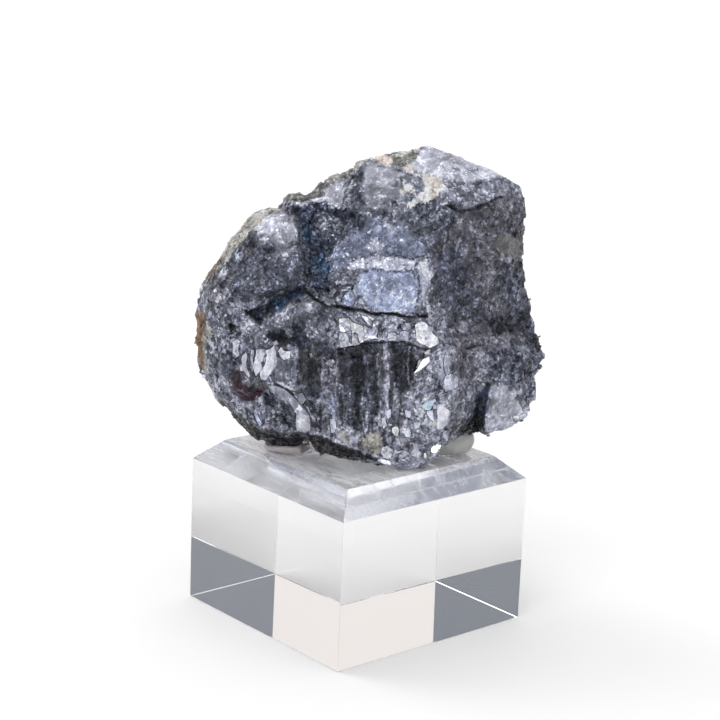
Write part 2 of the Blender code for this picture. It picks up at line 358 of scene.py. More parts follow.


# The marks on the broad front, back to front. ragged and soft are pixels of the edge, sink is mm
# into the stone, and flat is how far it is pressed to one plane, which may face its own way. A
# mark's shade holds painted light and shade along with the stone's own tone: the dark recesses,
# hollows, scoops, notch and underside are painted shade, and the pale cap and dome tops are painted
# lighter, partly for the light from above.
frontZones = {
    # the whole front, so that nothing is left over
    "upperBody": mark("grain", 1.14, [
        (196, 300), (300, 190), (420, 140), (540, 170), (530, 330), (300, 330)]),
    "lowerBody": mark("grain", 1.74, [(190, 300), (560, 300), (560, 480), (190, 480)]),

    # top right: pale cap, painted partly lighter for the light from above, its ledge and the broad side
    "capSlope": mark("ash", 1.23, [
        (424, 144), (456, 150), (508, 176), (469, 184), (439, 177), (415, 171), (404, 166), (415, 157)],
        flat=0.5, ragged=1.5),
    "capStreakLow": mark("silver", 1.03, [
        (440, 166), (470, 163), (500, 172), (506, 177), (470, 181), (444, 176)], soft=3),
    "capStreakDark": mark("grey", 1.45, [
        (443, 167), (458, 167), (486, 170), (470, 173), (447, 171)], ragged=1),
    "capRidge": mark("moss", 2.07, [
        (425, 146), (415, 148), (408, 155), (393, 158), (391, 163), (399, 167), (409, 164), (415, 158)],
        soft=1.5),
    "capRim": mark("rind", 1.78, [
        (390, 157), (399, 151), (414, 149), (426, 144), (412, 152), (402, 156)], soft=1.5, ragged=1.5),
    "ledge": mark("grey", 1.03, [
        (443, 180), (469, 183), (498, 177), (518, 183), (526, 196), (505, 195), (474, 207), (458, 205),
        (446, 197)]),
    "ledgeSmooth": mark("grey", 1.07, [(444, 189), (466, 187), (469, 196), (455, 204), (446, 199)], flat=0.7),
    "ledgeLine": mark("silver", 0.34, [
        (462, 208), (473, 203), (485, 201), (485, 204), (474, 207), (463, 211)], soft=1, ragged=1),
    "ledgePitLeft": mark("dusk", 2.4, [
        (476, 181), (485, 180), (484, 184), (481, 188), (478, 185)], sink=0.5, soft=1.5, ragged=1),
    "ledgePitRight": mark("grey", 1.65, [
        (489, 178), (500, 178), (495, 182), (489, 182)], sink=0.3, soft=1.5, ragged=1),
    "broadSide": mark("brown", 0.88, [
        (446, 206), (475, 208), (507, 196), (527, 196), (524, 250), (530, 310), (545, 350), (470, 350),
        (440, 300), (430, 250)], soft=3),
    "sideEdge": mark("brown", 0.96, [(506, 186), (526, 193), (527, 215), (520, 226), (507, 221)], soft=3),
    "sidePale": mark("brown", 1.0, [(458, 214), (472, 220), (469, 232), (460, 232)], soft=3, ragged=3),
    "sideWorn": mark("worn", 0.65, [
        (498, 236), (511, 233), (523, 236), (521, 256), (511, 258), (501, 253), (494, 246)], flat=0.8),
    "sideNick": mark("sootAndShade", 1.34, [(508, 231), (516, 230), (517, 236), (510, 236)], sink=0.3, soft=1),
    "sideDarkTop": mark("dusk", 1.64, [
        (404, 209), (440, 200), (455, 207), (452, 232), (432, 245), (412, 232)], soft=4, ragged=4),
    "sideDark": mark("sootAndShade", 3.47, [
        (436, 252), (462, 246), (470, 275), (462, 306), (440, 300)], soft=4, ragged=4),
    "sideSmooth": mark("dusk", 0.99, [(450, 295), (478, 285), (492, 310), (476, 322), (452, 316)], soft=4),
    "sideBlue": mark("dusk", 1.21, [
        (494, 262), (521, 262), (525, 290), (530, 312), (507, 318), (497, 290)], soft=4, ragged=3),
    "sideFoot": mark("sootAndShade", 2.1, [
        (478, 318), (530, 312), (544, 350), (508, 346), (480, 338)], soft=4, ragged=3),

    # top middle: the pyramid, the crusts beside it and the ledge left of it
    "pyramid": mark("ash", 0.6, [
        (360, 162), (391, 166), (424, 179), (422, 193), (412, 205), (396, 209), (360, 208), (357, 180)]),
    "pyramidCrown": mark("ash", 0.99, [(362, 164), (390, 168), (404, 174), (392, 186), (366, 185)], flat=0.8),
    "pyramidFoot": mark("dusk", 2.42, [
        (400, 178), (422, 184), (416, 200), (400, 206), (384, 204), (404, 192)], soft=3, ragged=3),
    "pyramidEdge": mark("dusk", 0.91, [
        (357, 164), (362, 163), (362, 186), (366, 205), (352, 214), (350, 196), (357, 184)], soft=3,
        ragged=3),
    "pinkCrust": mark("pink", 1.29, [
        (370, 158), (378, 154), (391, 158), (393, 164), (387, 166), (374, 162)], soft=1, ragged=2.5),
    "creamSpot": mark("cream", 0.71, [(400, 166), (410, 165), (413, 172), (407, 172)], soft=1),
    "creamLine": mark("cream", 0.95, [
        (404, 170), (416, 173), (427, 176), (427, 179), (415, 176)], soft=1, ragged=1.2),
    "creamCrust": mark("cream", 0.95, [
        (423, 178), (434, 175), (443, 180), (444, 188), (439, 196), (431, 198), (425, 201), (420, 197),
        (425, 190)], soft=1, ragged=4),
    "creamTail": mark("cream", 3.38, [
        (424, 194), (433, 197), (424, 203), (412, 206), (408, 209), (414, 200)], soft=1, ragged=4),
    "creamDust": mark("rind", 1.83, [(402, 184), (411, 186), (413, 195), (405, 197)], ragged=5),
    "leftLedge": mark("moss", 1.61, [
        (284, 202), (289, 193), (312, 192), (324, 180), (330, 186), (326, 197), (307, 202), (294, 203)],
        soft=1.5),
    "leftLedgeRim": mark("silver", 0.96, [
        (293, 203), (307, 200), (320, 198), (327, 195), (327, 200), (314, 203), (297, 207)], soft=1,
        ragged=1.2),
    "paleFacet": mark("ash", 0.78, [
        (322, 192), (340, 180), (345, 190), (343, 205), (337, 209), (327, 201)], flat=0.8),
    "skyline": mark("rind", 0.7, [
        (324, 180), (343, 171), (366, 155), (368, 160), (346, 176), (330, 185)], soft=1.5),

    # left: the dome, its pale top, painted partly lighter for the light from above, and the recess beside it
    # in painted shade
    "domeBody": mark("dusk", 1.16, [
        (222, 262), (243, 242), (286, 244), (302, 240), (306, 276), (296, 292), (258, 300), (226, 305)],
        soft=3),
    "domePale": mark("ash", 1.05, [
        (253, 226), (265, 215), (281, 211), (294, 216), (300, 228), (299, 242), (286, 243), (272, 238),
        (258, 234)], soft=3, ragged=3),
    "domeCrown": mark("silver", 0.79, [
        (258, 224), (268, 215), (284, 213), (291, 222), (284, 232), (268, 232)], soft=4, ragged=3),
    "domeNotch": mark("sootAndShade", 1.84, [
        (240, 242), (253, 231), (260, 237), (258, 244), (268, 247), (284, 244), (282, 251), (264, 253),
        (248, 249)], sink=0.2),
    "domeShade": mark("dusk", 1.36, [
        (292, 246), (306, 244), (310, 275), (300, 290), (286, 280)], soft=4, ragged=4),
    "leftFlank": mark("striped", 0.78, [
        (196, 310), (206, 276), (222, 262), (232, 270), (228, 300), (206, 316)], soft=4, ragged=3),
    "rindTop": mark("rind", 0.89, [
        (200, 280), (208, 266), (219, 252), (227, 241), (235, 227), (252, 215), (267, 207), (280, 204),
        (281, 211), (271, 214), (256, 226), (244, 240), (234, 251), (223, 262), (210, 275)], soft=1.5,
        ragged=2.5),
    "rindBrown": mark("rust", 0.56, [(202, 284), (210, 268), (221, 255), (224, 260), (213, 273), (206, 282)]),
    "recess": mark("pitchShade", 3.79, [
        (290, 208), (301, 205), (318, 203), (327, 207), (346, 210), (358, 214), (356, 232), (338, 244),
        (330, 262), (330, 292), (312, 292), (304, 278), (308, 250), (301, 226)], sink=0.4, soft=3, ragged=3),
    "recessBlueTop": mark("pitchBlueShade", 5.11, [
        (301, 229), (310, 227), (312, 240), (303, 247)], soft=3, ragged=3),
    "recessBlueLow": mark("pitchBlueShade", 3.12, [
        (313, 258), (324, 255), (333, 266), (327, 279), (316, 274)], soft=4, ragged=4),
    "recessFlecks": mark("grey", 1.01, [
        (318, 212), (336, 216), (344, 226), (330, 238), (316, 232)], soft=3, ragged=5),

    # the slab with the stepped frame, right of the middle
    "slabTop": mark("lilac", 0.55, [
        (346, 222), (362, 216), (400, 222), (412, 234), (428, 250), (420, 257), (345, 255)], soft=4,
        ragged=4),
    "slabTopPale": mark("lilac", 0.46, [(358, 238), (378, 232), (384, 250), (362, 251)], soft=3, ragged=3),
    "slabTopLit": mark("silver", 1.13, [
        (366, 244), (376, 239), (384, 246), (378, 253), (368, 252)], ragged=4),
    "slabTopLitTwo": mark("ash", 1.31, [(384, 224), (392, 222), (396, 231), (388, 234)], ragged=4),
    "slabTopMottle": mark("lilac", 0.36, [
        (366, 220), (380, 219), (386, 230), (380, 237), (370, 234)], soft=3, ragged=5),
    "slabLeft": mark("grain", 1.69, [
        (331, 256), (358, 258), (362, 290), (352, 309), (332, 300)], soft=3, ragged=3),
    "slabLeftPale": mark("lilac", 0.6, [(328, 252), (342, 248), (352, 262), (340, 268), (332, 266)]),
    "frameTop": mark("silver", 0.89, [
        (350, 262), (372, 257), (421, 258), (428, 262), (420, 269), (390, 271), (352, 269)], soft=1.5,
        flat=0.7, face=(0.03, -0.85, 0.53)),
    "frameRight": mark("silver", 1.07, [
        (416, 262), (428, 261), (430, 288), (424, 308), (420, 285)], soft=1.5, ragged=1.5, flat=0.7,
        face=(0.3, -0.95, 0.1)),
    "innerPlate": mark("lilac", 1.27, [
        (367, 271), (390, 271), (415, 274), (419, 291), (415, 312), (396, 314), (377, 310), (361, 301),
        (357, 285)], soft=1.5, flat=0.7, sink=0.25),
    "innerMottle": mark("lilac", 1.11, [
        (376, 275), (396, 272), (412, 276), (414, 287), (400, 296), (386, 292), (376, 286)], ragged=6),
    "innerSmooth": mark("lilac", 2.0, [
        (361, 271), (372, 270), (378, 276), (376, 288), (366, 294), (358, 288)]),
    "innerGlint": mark("lilac", 1.45, [(388, 294), (407, 286), (410, 304), (398, 312), (384, 306)], ragged=4),

    # the notch under the dome, painted as shadow
    "notch": mark("pitchShade", 2.96, [
        (240, 308), (254, 308), (276, 296), (296, 288), (307, 284), (306, 294), (289, 304), (271, 314),
        (260, 325), (252, 321)], sink=0.8, ragged=1.5),
    "notchBlue": mark("pitchBlueShade", 4.1, [(271, 300), (296, 290), (303, 292), (278, 310)], soft=3, ragged=3),
    "notchLip": mark("cream", 0.12, [
        (239, 309), (243, 311), (253, 321), (259, 325), (256, 328), (247, 321), (240, 315)], soft=1,
        ragged=1.5),

    # lower left: its hole, the hollow below the ribbon and the underside are painted shade
    "lowerLeft": mark("crystals", 0.49, [
        (197, 312), (242, 312), (262, 330), (252, 350), (232, 372), (204, 376)], soft=3),
    "ridgeFront": mark("grey", 0.69, [
        (258, 326), (290, 304), (312, 288), (326, 306), (346, 308), (336, 322), (300, 334), (270, 332)],
        soft=3, ragged=3),
    "darkHole": mark("sootAndShade", 1.85, [
        (229, 321), (234, 324), (235, 330), (232, 334), (229, 329)], sink=0.9, soft=1.2, ragged=1),
    "darkMass": mark("pitchShade", 0.49, [
        (266, 332), (283, 330), (292, 340), (287, 348), (275, 343), (268, 338)], ragged=2.5),
    "plateBed": mark("dusk", 1.95, [
        (236, 350), (250, 342), (292, 350), (296, 372), (284, 386), (252, 388), (240, 374)], soft=3),
    "plateShade": mark("silver", 0.28, [
        (277, 360), (290, 360), (290, 384), (277, 386), (272, 378)], ragged=1),
    "greenGrey": mark("olive", 2.08, [(246, 376), (258, 378), (268, 384), (262, 390), (252, 390)]),
    "wineStain": mark("wine", 0.64, [
        (225, 370), (239, 370), (246, 385), (255, 390), (268, 383), (270, 388), (255, 399), (247, 401),
        (231, 394), (232, 383)], soft=2.5, ragged=2.5),
    "ribbonHollow": mark("sootAndShade", 1.57, [
        (281, 401), (293, 407), (296, 416), (295, 428), (287, 430), (281, 422), (279, 408)], sink=0.4,
        soft=1.5, ragged=1),
    "blueCrystals": mark("crystals", 0.55, [
        (254, 409), (263, 400), (277, 397), (280, 416), (277, 434), (263, 426), (255, 417)], soft=3,
        ragged=4),
    "undersideLeft": mark("moss", 0.53, [
        (216, 393), (228, 406), (241, 416), (254, 426), (284, 432), (292, 448), (262, 448), (240, 434),
        (224, 412)], soft=3),
    "undersideDark": mark("sootAndShade", 0.81, [
        (256, 434), (282, 431), (290, 446), (272, 448), (260, 444)], soft=3, ragged=3),
    "rustEdge": mark("rust", 0.98, [
        (196, 311), (206, 313), (206, 338), (204, 360), (208, 376), (201, 368), (196, 356), (192, 338)]),
    "rustRim": mark("rind", 0.68, [
        (204, 330), (211, 322), (212, 336), (206, 346), (207, 374), (212, 388), (206, 378), (202, 352)],
        soft=1.5),

    # the striated lower front, its scoops painted as shade
    "striae": mark("striped", 1.1, [
        (296, 350), (318, 345), (420, 345), (440, 372), (420, 460), (370, 462), (300, 435)], soft=3),
    "oliveStripes": mark("olive", 0.74, [
        (296, 352), (306, 338), (318, 354), (319, 384), (314, 408), (304, 405), (299, 388)], soft=3),
    "oliveGap": mark("stripedSootAndShade", 1.3, [(307, 372), (317, 368), (317, 412), (308, 414)]),
    "stripePale": mark("grey", 0.68, [
        (327, 378), (333, 372), (336, 410), (337, 428), (329, 424)], ragged=2.5),
    "scoopLeft": mark("stripedSootAndShade", 1.82, [
        (338, 349), (362, 342), (377, 341), (380, 363), (378, 386), (362, 398), (350, 400), (340, 384)],
        soft=2.5),
    "scoopLeftTail": mark("stripedSootAndShade", 2.49, [
        (342, 384), (370, 388), (374, 414), (366, 434), (352, 430), (344, 410)], soft=4, ragged=3),
    "scoopRight": mark("stripedSootAndShade", 1.26, [
        (388, 342), (408, 343), (416, 348), (415, 366), (410, 388), (402, 396), (392, 384)], soft=2.5,
        ragged=1.5),
    "scoopRidge": mark("striped", 0.26, [
        (380, 344), (388, 344), (391, 384), (392, 424), (382, 424), (381, 384)], ragged=1.5),
    "archLeft": mark("silver", 0.46, [
        (340, 318), (364, 313), (376, 326), (379, 339), (360, 344), (338, 347)], soft=1, ragged=1, flat=0.8,
        face=(-0.1, -0.9, 0.42)),
    "archMiddle": mark("silver", 0.75, [
        (384, 332), (413, 327), (418, 341), (409, 341), (387, 339)], soft=1.2, ragged=1.5, flat=0.6,
        face=(0.05, -0.93, 0.36)),

    # right of the scoops
    "sliverLeft": mark("crystals", 0.65, [
        (424, 352), (440, 345), (452, 362), (456, 396), (436, 402), (416, 392), (412, 376), (420, 360)]),
    "stripRight": mark("silver", 0.64, [
        (445, 352), (450, 372), (458, 379), (459, 388), (445, 394), (442, 378), (438, 360)], soft=1.5),
    "crystalPatch": mark("crystals", 1.05, [
        (404, 412), (420, 402), (436, 396), (438, 430), (420, 436), (404, 438)], ragged=3),
    "edgeRight": mark("brown", 1.07, [
        (452, 330), (472, 334), (478, 372), (466, 400), (454, 440), (446, 446), (452, 412), (460, 390),
        (456, 360)], soft=3),
    "valleyShade": mark("sootAndShade", 0.29, [
        (486, 380), (492, 384), (489, 412), (484, 430), (468, 434), (472, 416), (480, 398)], soft=2.5,
        ragged=1.5),
    "valleyBlue": mark("blue", 0.55, [(478, 392), (490, 388), (488, 414), (478, 418)]),

    # the foot of the broad side; then the underside's band of painted shade
    "footUpper": mark("dusk", 1.46, [
        (484, 350), (510, 342), (540, 352), (546, 362), (534, 376), (534, 392), (504, 388), (488, 372)],
        soft=4, ragged=3),
    "footBrown": mark("brown", 1.34, [
        (460, 336), (476, 326), (500, 334), (520, 332), (528, 340), (510, 344), (486, 352), (468, 350)],
        soft=3, ragged=3),
    "footBright": mark("ash", 0.96, [
        (491, 388), (505, 386), (518, 400), (528, 410), (526, 419), (512, 427), (487, 436), (484, 426),
        (490, 406)], ragged=2.5),
    "footRim": mark("fresh", 0.66, [
        (512, 396), (520, 404), (527, 410), (525, 415), (515, 408), (510, 400)], soft=1.5, ragged=3),
    "undersideBand": mark("sootAndShade", 0.31, [
        (288, 432), (300, 432), (326, 438), (346, 448), (366, 454), (384, 461), (340, 459), (306, 454),
        (292, 446)], ragged=1.5),

    # lights and darks of middling size that cross the marks above
    "domePaleLow": mark("ash", 0.78, [
        (270, 236), (284, 231), (292, 244), (288, 258), (273, 259)], soft=4, ragged=5),
    "lowerDark": mark("dusk", 0.87, [
        (212, 356), (228, 351), (237, 364), (231, 379), (216, 377)], soft=3, ragged=5),
    "darkMassRight": mark("pitchShade", 2.21, [
        (290, 322), (306, 326), (311, 341), (302, 351), (290, 346)], soft=3, ragged=4),
    "tipPale": mark("crystals", 1.42, [
        (396, 451), (412, 449), (421, 459), (412, 470), (398, 468)], soft=3, ragged=4),
    "footFlat": mark("rind", 0.85, [(360, 434), (380, 431), (385, 448), (376, 456), (364, 450)], ragged=3),
    "besideGlint": mark("crystals", 1.74, [
        (413, 371), (424, 370), (428, 383), (416, 389), (411, 381)], ragged=3),
    "slabDarkLeft": mark("pitchShade", 2.31, [
        (347, 209), (362, 211), (366, 222), (356, 230), (346, 226)], soft=3, ragged=4),
    "valleyFoot": mark("pitchShade", 0.4, [
        (461, 420), (474, 414), (478, 431), (470, 440), (458, 436)], soft=3, ragged=3),
    "hollowTop": mark("pitchShade", 1.43, [(261, 391), (273, 394), (278, 404), (269, 409), (262, 401)], ragged=3),
    "oliveTop": mark("sootAndShade", 1.97, [(315, 341), (330, 341), (331, 356), (317, 357)], soft=3, ragged=4),
    "slabPale": mark("lilac", 0.87, [(390, 237), (402, 237), (406, 251), (392, 253)], soft=3, ragged=4),
}

# Single cleavage faces, bright and crisp: each is a thin plate of metal, half sunk in the front. Their shades
# hold painted highlight along with the metal's own tone.
plates = {
    "bed": 0.25,                # mm that the skin is cut back under a plate
    "lift": 0.26,
    "thick": 0.5,
    "facing": 0.5,              # how far a plate turns from the skin below it towards the front
    "longEdge": 4,              # pixels: an edge longer than this has a break in it
    "breakWidth": 1.3,
}
frontPlates = {
    # lower left
    "shardOne": mark("fresh", 0.81, [
        (232, 342), (237, 339), (240, 341), (238, 349), (239, 355), (237, 357), (233, 353), (233, 347)]),
    "shardTwo": mark("fresh", 0.82, [
        (242, 356), (246, 352), (247, 358), (246, 364), (247, 369), (250, 376), (249, 378), (244, 371),
        (240, 371), (240, 366), (242, 365)]),
    "shardThin": mark("silver", 0.8, [
        (251, 350), (254, 350), (254, 356), (253, 360), (254, 366), (252, 372), (251, 366), (250, 358)]),
    "shardMiddle": mark("fresh", 0.8, [
        (256, 350), (263, 349), (264, 353), (263, 358), (261, 363), (262, 369), (258, 373), (256, 376),
        (254, 371), (253, 364), (255, 360), (256, 355)]),
    "shardRight": mark("fresh", 0.97, [
        (265, 350), (270, 349), (274, 345), (276, 352), (277, 360), (276, 366), (270, 374), (266, 380),
        (261, 379), (260, 372), (263, 368), (266, 361), (267, 355)]),
    "shardFar": mark("fresh", 0.94, [
        (278, 351), (281, 347), (284, 351), (291, 351), (290, 358), (284, 360), (280, 356)]),
    "ribbonHigh": mark("silver", 0.54, [
        (268, 386), (275, 386), (284, 389), (290, 394), (288, 401), (283, 398), (274, 392)]),
    "ribbonMiddle": mark("silver", 0.59, [
        (290, 394), (296, 399), (303, 409), (308, 415), (297, 415), (293, 408), (288, 401)]),
    "ribbonLow": mark("fresh", 0.68, [
        (296, 409), (300, 406), (305, 410), (309, 415), (310, 420), (310, 431), (303, 432), (297, 431),
        (296, 422)]),
    "ribbonWing": mark("silver", 0.49, [(294, 395), (302, 393), (306, 400), (303, 404), (299, 402)]),
    "smallHook": mark("silver", 1.5, [(285, 424), (287, 424), (289, 429), (286, 430)]),
    "bluePlate": mark("lilac", 1.22, [
        (254, 410), (256, 409), (258, 416), (262, 424), (260, 427), (256, 420), (254, 414)]),
    "roundPale": mark("lilac", 0.71, [
        (343, 297), (347, 292), (353, 293), (356, 299), (353, 305), (347, 306), (342, 302)]),
    "dotPale": mark("fresh", 0.32, [(309, 354), (312, 353), (313, 357), (310, 358)]),
    "spotPale": mark("silver", 0.66, [(328, 360), (333, 359), (335, 363), (332, 367), (328, 365)]),
    "footSparkA": mark("fresh", 0.46, [(520, 402), (524, 400), (526, 404), (523, 407)]),
    "footSparkB": mark("fresh", 0.68, [(523, 409), (527, 408), (527, 412), (524, 412)]),
    "footSparkC": mark("silver", 2.09, [(513, 416), (518, 415), (519, 420), (515, 421)]),
    "stripFoot": mark("silver", 0.74, [(330, 419), (334, 418), (336, 424), (335, 432), (331, 433)]),

    # the arch over the two scoops
    "archPale": mark("fresh", 0.87, [(339, 319), (349, 318), (350, 330), (344, 332), (340, 331)]),
    "archStreak": mark("fresh", 1.97, [
        (350, 319), (353, 323), (360, 325), (363, 326), (363, 342), (360, 343), (358, 334), (355, 332),
        (352, 334), (351, 329)]),
    "archBody": mark("silver", 1.04, [
        (364, 325), (372, 329), (373, 322), (378, 330), (376, 336), (379, 339), (372, 339), (365, 340),
        (363, 342), (363, 334)]),
    "archFoot": mark("fresh", 0.83, [
        (344, 333), (347, 334), (349, 343), (355, 345), (345, 347), (340, 347), (340, 342), (345, 341)]),
    "archSplinter": mark("fresh", 0.78, [(352, 336), (356, 338), (360, 344), (355, 346), (352, 344)]),
    "archCrest": mark("fresh", 0.85, [(361, 315), (367, 317), (372, 322), (371, 326), (366, 322)]),
    "archMidPale": mark("silver", 1.11, [
        (387, 339), (388, 333), (394, 332), (399, 335), (401, 331), (408, 332), (408, 341), (400, 340),
        (392, 338)]),
    "archMidShade": mark("grey", 0.86, [(409, 331), (415, 327), (416, 342), (409, 341)]),
    "archMidTop": mark("grey", 1.75, [(401, 322), (409, 323), (411, 329), (403, 330)]),
    "archBright": mark("fresh", 1.41, [
        (415, 325), (419, 322), (424, 322), (428, 326), (432, 332), (437, 337), (439, 343), (434, 346),
        (430, 348), (425, 345), (417, 341), (416, 332)], face=(0.1, -0.8, 0.6)),

    # right of the scoops
    "glint": mark("fresh", 3.91, [
        (414, 373), (418, 368), (421, 362), (425, 358), (431, 356), (430, 361), (425, 366), (420, 370)],
        face=(-0.2, -0.75, 0.62)),
    "glintSlim": mark("fresh", 2.74, [(416, 368), (418, 361), (421, 359), (419, 366)]),
    "glintTop": mark("fresh", 2.37, [(424, 353), (427, 350), (430, 349), (429, 352), (426, 354)]),
    "stripHigh": mark("silver", 0.68, [(445, 354), (448, 360), (450, 372), (447, 376), (444, 366)]),
    "stripLow": mark("silver", 1.17, [
        (445, 377), (451, 374), (457, 377), (458, 386), (452, 390), (446, 392), (443, 388)]),
    "facetPale": mark("fresh", 0.88, [
        (437, 405), (440, 404), (444, 407), (449, 410), (449, 419), (447, 424), (443, 429), (437, 429),
        (438, 420), (437, 412)]),
    "facetBeside": mark("silver", 1.76, [(427, 411), (433, 410), (434, 421), (431, 420), (427, 414)]),
    "facetTeal": mark("teal", 1.3, [(421, 407), (425, 402), (432, 400), (434, 403), (431, 409), (426, 410)]),
    "facetTwin": mark("silver", 1.4, [(405, 410), (411, 411), (410, 418), (406, 417)]),
    "facetSmall": mark("silver", 2.1, [(414, 423), (420, 422), (419, 428), (414, 428)]),
    "facetBlue": mark("lilac", 1.67, [
        (403, 428), (409, 427), (411, 432), (410, 438), (406, 437), (402, 432)]),
    "facetLow": mark("silver", 4.23, [
        (392, 428), (397, 426), (399, 430), (398, 436), (395, 436), (392, 432)]),
    "stripA": mark("silver", 0.97, [(385, 410), (391, 409), (391, 417), (388, 419), (385, 414)]),
    "stripB": mark("silver", 0.91, [(382, 418), (385, 418), (387, 426), (384, 429), (382, 424)]),
    "tipGrey": mark("grey", 2.88, [(381, 448), (387, 446), (393, 450), (391, 458), (384, 458), (381, 454)]),
    "tipRim": mark("fresh", 0.68, [
        (378, 458), (381, 458), (389, 461), (391, 465), (384, 464), (378, 461)], face=(-0.2, -0.75, 0.62)),
    "tipGlare": mark("glare", 1.4, [
        (431, 449), (433, 446), (436, 443), (441, 445), (440, 448), (438, 449), (437, 452), (433, 453),
        (431, 452)], face=(-0.28, -0.78, 0.64)),
    "tipSpark": mark("glare", 0.55, [
        (424, 453), (426, 453), (427, 457), (424, 458)], face=(-0.28, -0.78, 0.64)),
}

# Cracks, steps and edges on the front: width is half of it, in pixels, and depth is how far it is
# cut in, or stands out where it is below zero, in mm. The dark lines that are cut in are painted shade.
frontLines = {
    "longCrack": mark("sootAndShade", 0.8, [
        (305, 290), (316, 300), (328, 307), (346, 308), (360, 310), (373, 314), (396, 314), (404, 318),
        (426, 316)], width=1.5, depth=0.6),
    "slabCrack": mark("sootAndShade", 2.4, [
        (383, 257), (398, 255), (412, 259), (428, 256)], width=0.7, depth=0.06, ragged=2.5),
    "frameCrack": mark("sootAndShade", 1.6, [(419, 290), (418, 297), (416, 304)], width=0.7, depth=0.1),
    "frameInner": mark("blue", 1.5, [
        (366, 271), (390, 270), (403, 272), (414, 271), (417, 262)], width=0.8, depth=0.05, ragged=2.5),
    "arcEdge": mark("sootAndShade", 1.0, [
        (338, 349), (362, 343), (378, 342), (390, 342), (404, 342), (417, 346), (428, 351)], width=1.0,
        depth=0.35),
    "arcLip": mark("silver", 0.9, [
        (338, 345), (362, 340), (376, 339), (390, 339), (404, 339), (418, 343)], width=0.8, depth=-0.1),
    "pyramidRidge": mark("silver", 0.8, [(361, 163), (391, 166), (423, 178)], width=0.9, depth=-0.1),
    "ribbonStepHigh": mark("silver", 0.9, [(276, 381), (284, 385), (294, 392)], width=0.9, depth=-0.12),
    "ribbonStepShade": mark("sootAndShade", 1.3, [
        (275, 384), (284, 388), (294, 395), (304, 405), (311, 418)], width=1.0, depth=0.25),
    "stepOne": mark("silver", 0.7, [(296, 394), (303, 400), (309, 412), (314, 420)], width=0.7, depth=-0.1),
    "stepTwo": mark("sootAndShade", 1.6, [(292, 390), (300, 396), (307, 406)], width=0.7, depth=0.15),
    "oliveEdge": mark("grey", 0.8, [(297, 350), (299, 372), (304, 392)], width=0.9, depth=-0.1),
    "columnDarkA": mark("sootAndShade", 1.25, [(311, 364), (311, 380), (315, 396)], width=3.2, depth=0.15, ragged=2),
    "columnDarkB": mark("sootAndShade", 1.25, [
        (360, 354), (358, 384), (357, 405), (362, 421)], width=3.0, depth=0.2, ragged=2),
    "columnDarkC": mark("sootAndShade", 1.2, [(395, 346), (395, 378)], width=3.0, depth=0.2, ragged=2),
    "columnDarkD": mark("sootAndShade", 1.4, [(321, 411), (320, 432)], width=1.8, depth=0.1, ragged=1.5),
    "columnDarkE": mark("sootAndShade", 1.4, [(364, 420), (365, 437)], width=1.2, depth=0.1),
    "columnDarkF": mark("sootAndShade", 1.3, [(331, 350), (331, 358)], width=2.4, depth=0.12, ragged=1.5),
    "columnDarkG": mark("sootAndShade", 1.4, [(376, 389), (377, 412)], width=4.0, depth=0.15, ragged=2.5),
    "columnPaleA": mark("striped", 1.5, [
        (385, 343), (386, 365), (386, 386)], width=2.6, depth=-0.1, ragged=2),
    "columnPaleB": mark("silver", 0.6, [(386, 388), (387, 418)], width=2.6, depth=-0.1, ragged=2),
    "columnPaleC": mark("lilac", 0.8, [
        (332, 396), (334, 412), (333, 432)], width=1.5, depth=-0.06, ragged=1.5),
    "columnPaleD": mark("silver", 0.55, [(378, 354), (377, 372), (379, 386)], width=0.9, depth=-0.05),
    "columnPaleE": mark("grey", 1.2, [(367, 410), (367, 430)], width=0.9, depth=-0.05),
    "columnPaleF": mark("grey", 1.2, [(394, 382), (395, 394)], width=0.9, depth=-0.05),
    "archLine": mark("lilac", 0.95, [
        (317, 404), (321, 396), (327, 391), (332, 393), (335, 410)], width=0.9, depth=-0.06),
    "creamFoot": mark("rind", 0.9, [(341, 434), (346, 443)], width=2.4, depth=-0.05, ragged=1.5),
    "stripeOne": mark("grey", 1.0, [(361, 410), (366, 436)], width=0.8, depth=-0.1),
    "stripeTwo": mark("silver", 0.9, [(387, 382), (387, 420)], width=1.2, depth=-0.1),
    "stripeThree": mark("grey", 0.9, [(409, 346), (408, 384)], width=0.8, depth=-0.1),
    "glintShade": mark("sootAndShade", 1.0, [(414, 372), (418, 362), (424, 354)], width=0.9, depth=0.2),
    "valleyEdge": mark("lilac", 0.8, [(491, 388), (486, 412), (485, 426)], width=0.8, depth=-0.05),
    "ledgeShade": mark("sootAndShade", 1.8, [(448, 206), (460, 212), (474, 209), (500, 197)], width=1.2, depth=0.2),
    "bandEdge": mark("silver", 0.9, [
        (300, 431), (326, 436), (346, 446), (366, 452), (390, 462), (412, 469)], width=0.9, depth=-0.05),
}

# The sides, back and top, where no outline says otherwise: how much of them each finish takes,
# clean break by clean break.
sideGrains = {
    "dusk": 0.24, "grain": 0.2, "grey": 0.14, "striped": 0.13, "ash": 0.09, "brown": 0.1, "lilac": 0.05,
    "sootAndShade": 0.05,
}

# What lies over the breaks there: finish, size of its patches in mm, how much of the surface it
# takes, and the heights that it keeps to.
sidePatches = [
    ("sootAndShade", 3.6, 0.16, (20, 62)),
    ("rind", 4.5, 0.1, (38, 70)),
    ("cream", 2.0, 0.05, (46, 70)),
    ("moss", 5.0, 0.16, (20, 36)),
    ("rust", 3.0, 0.04, (28, 46)),
]

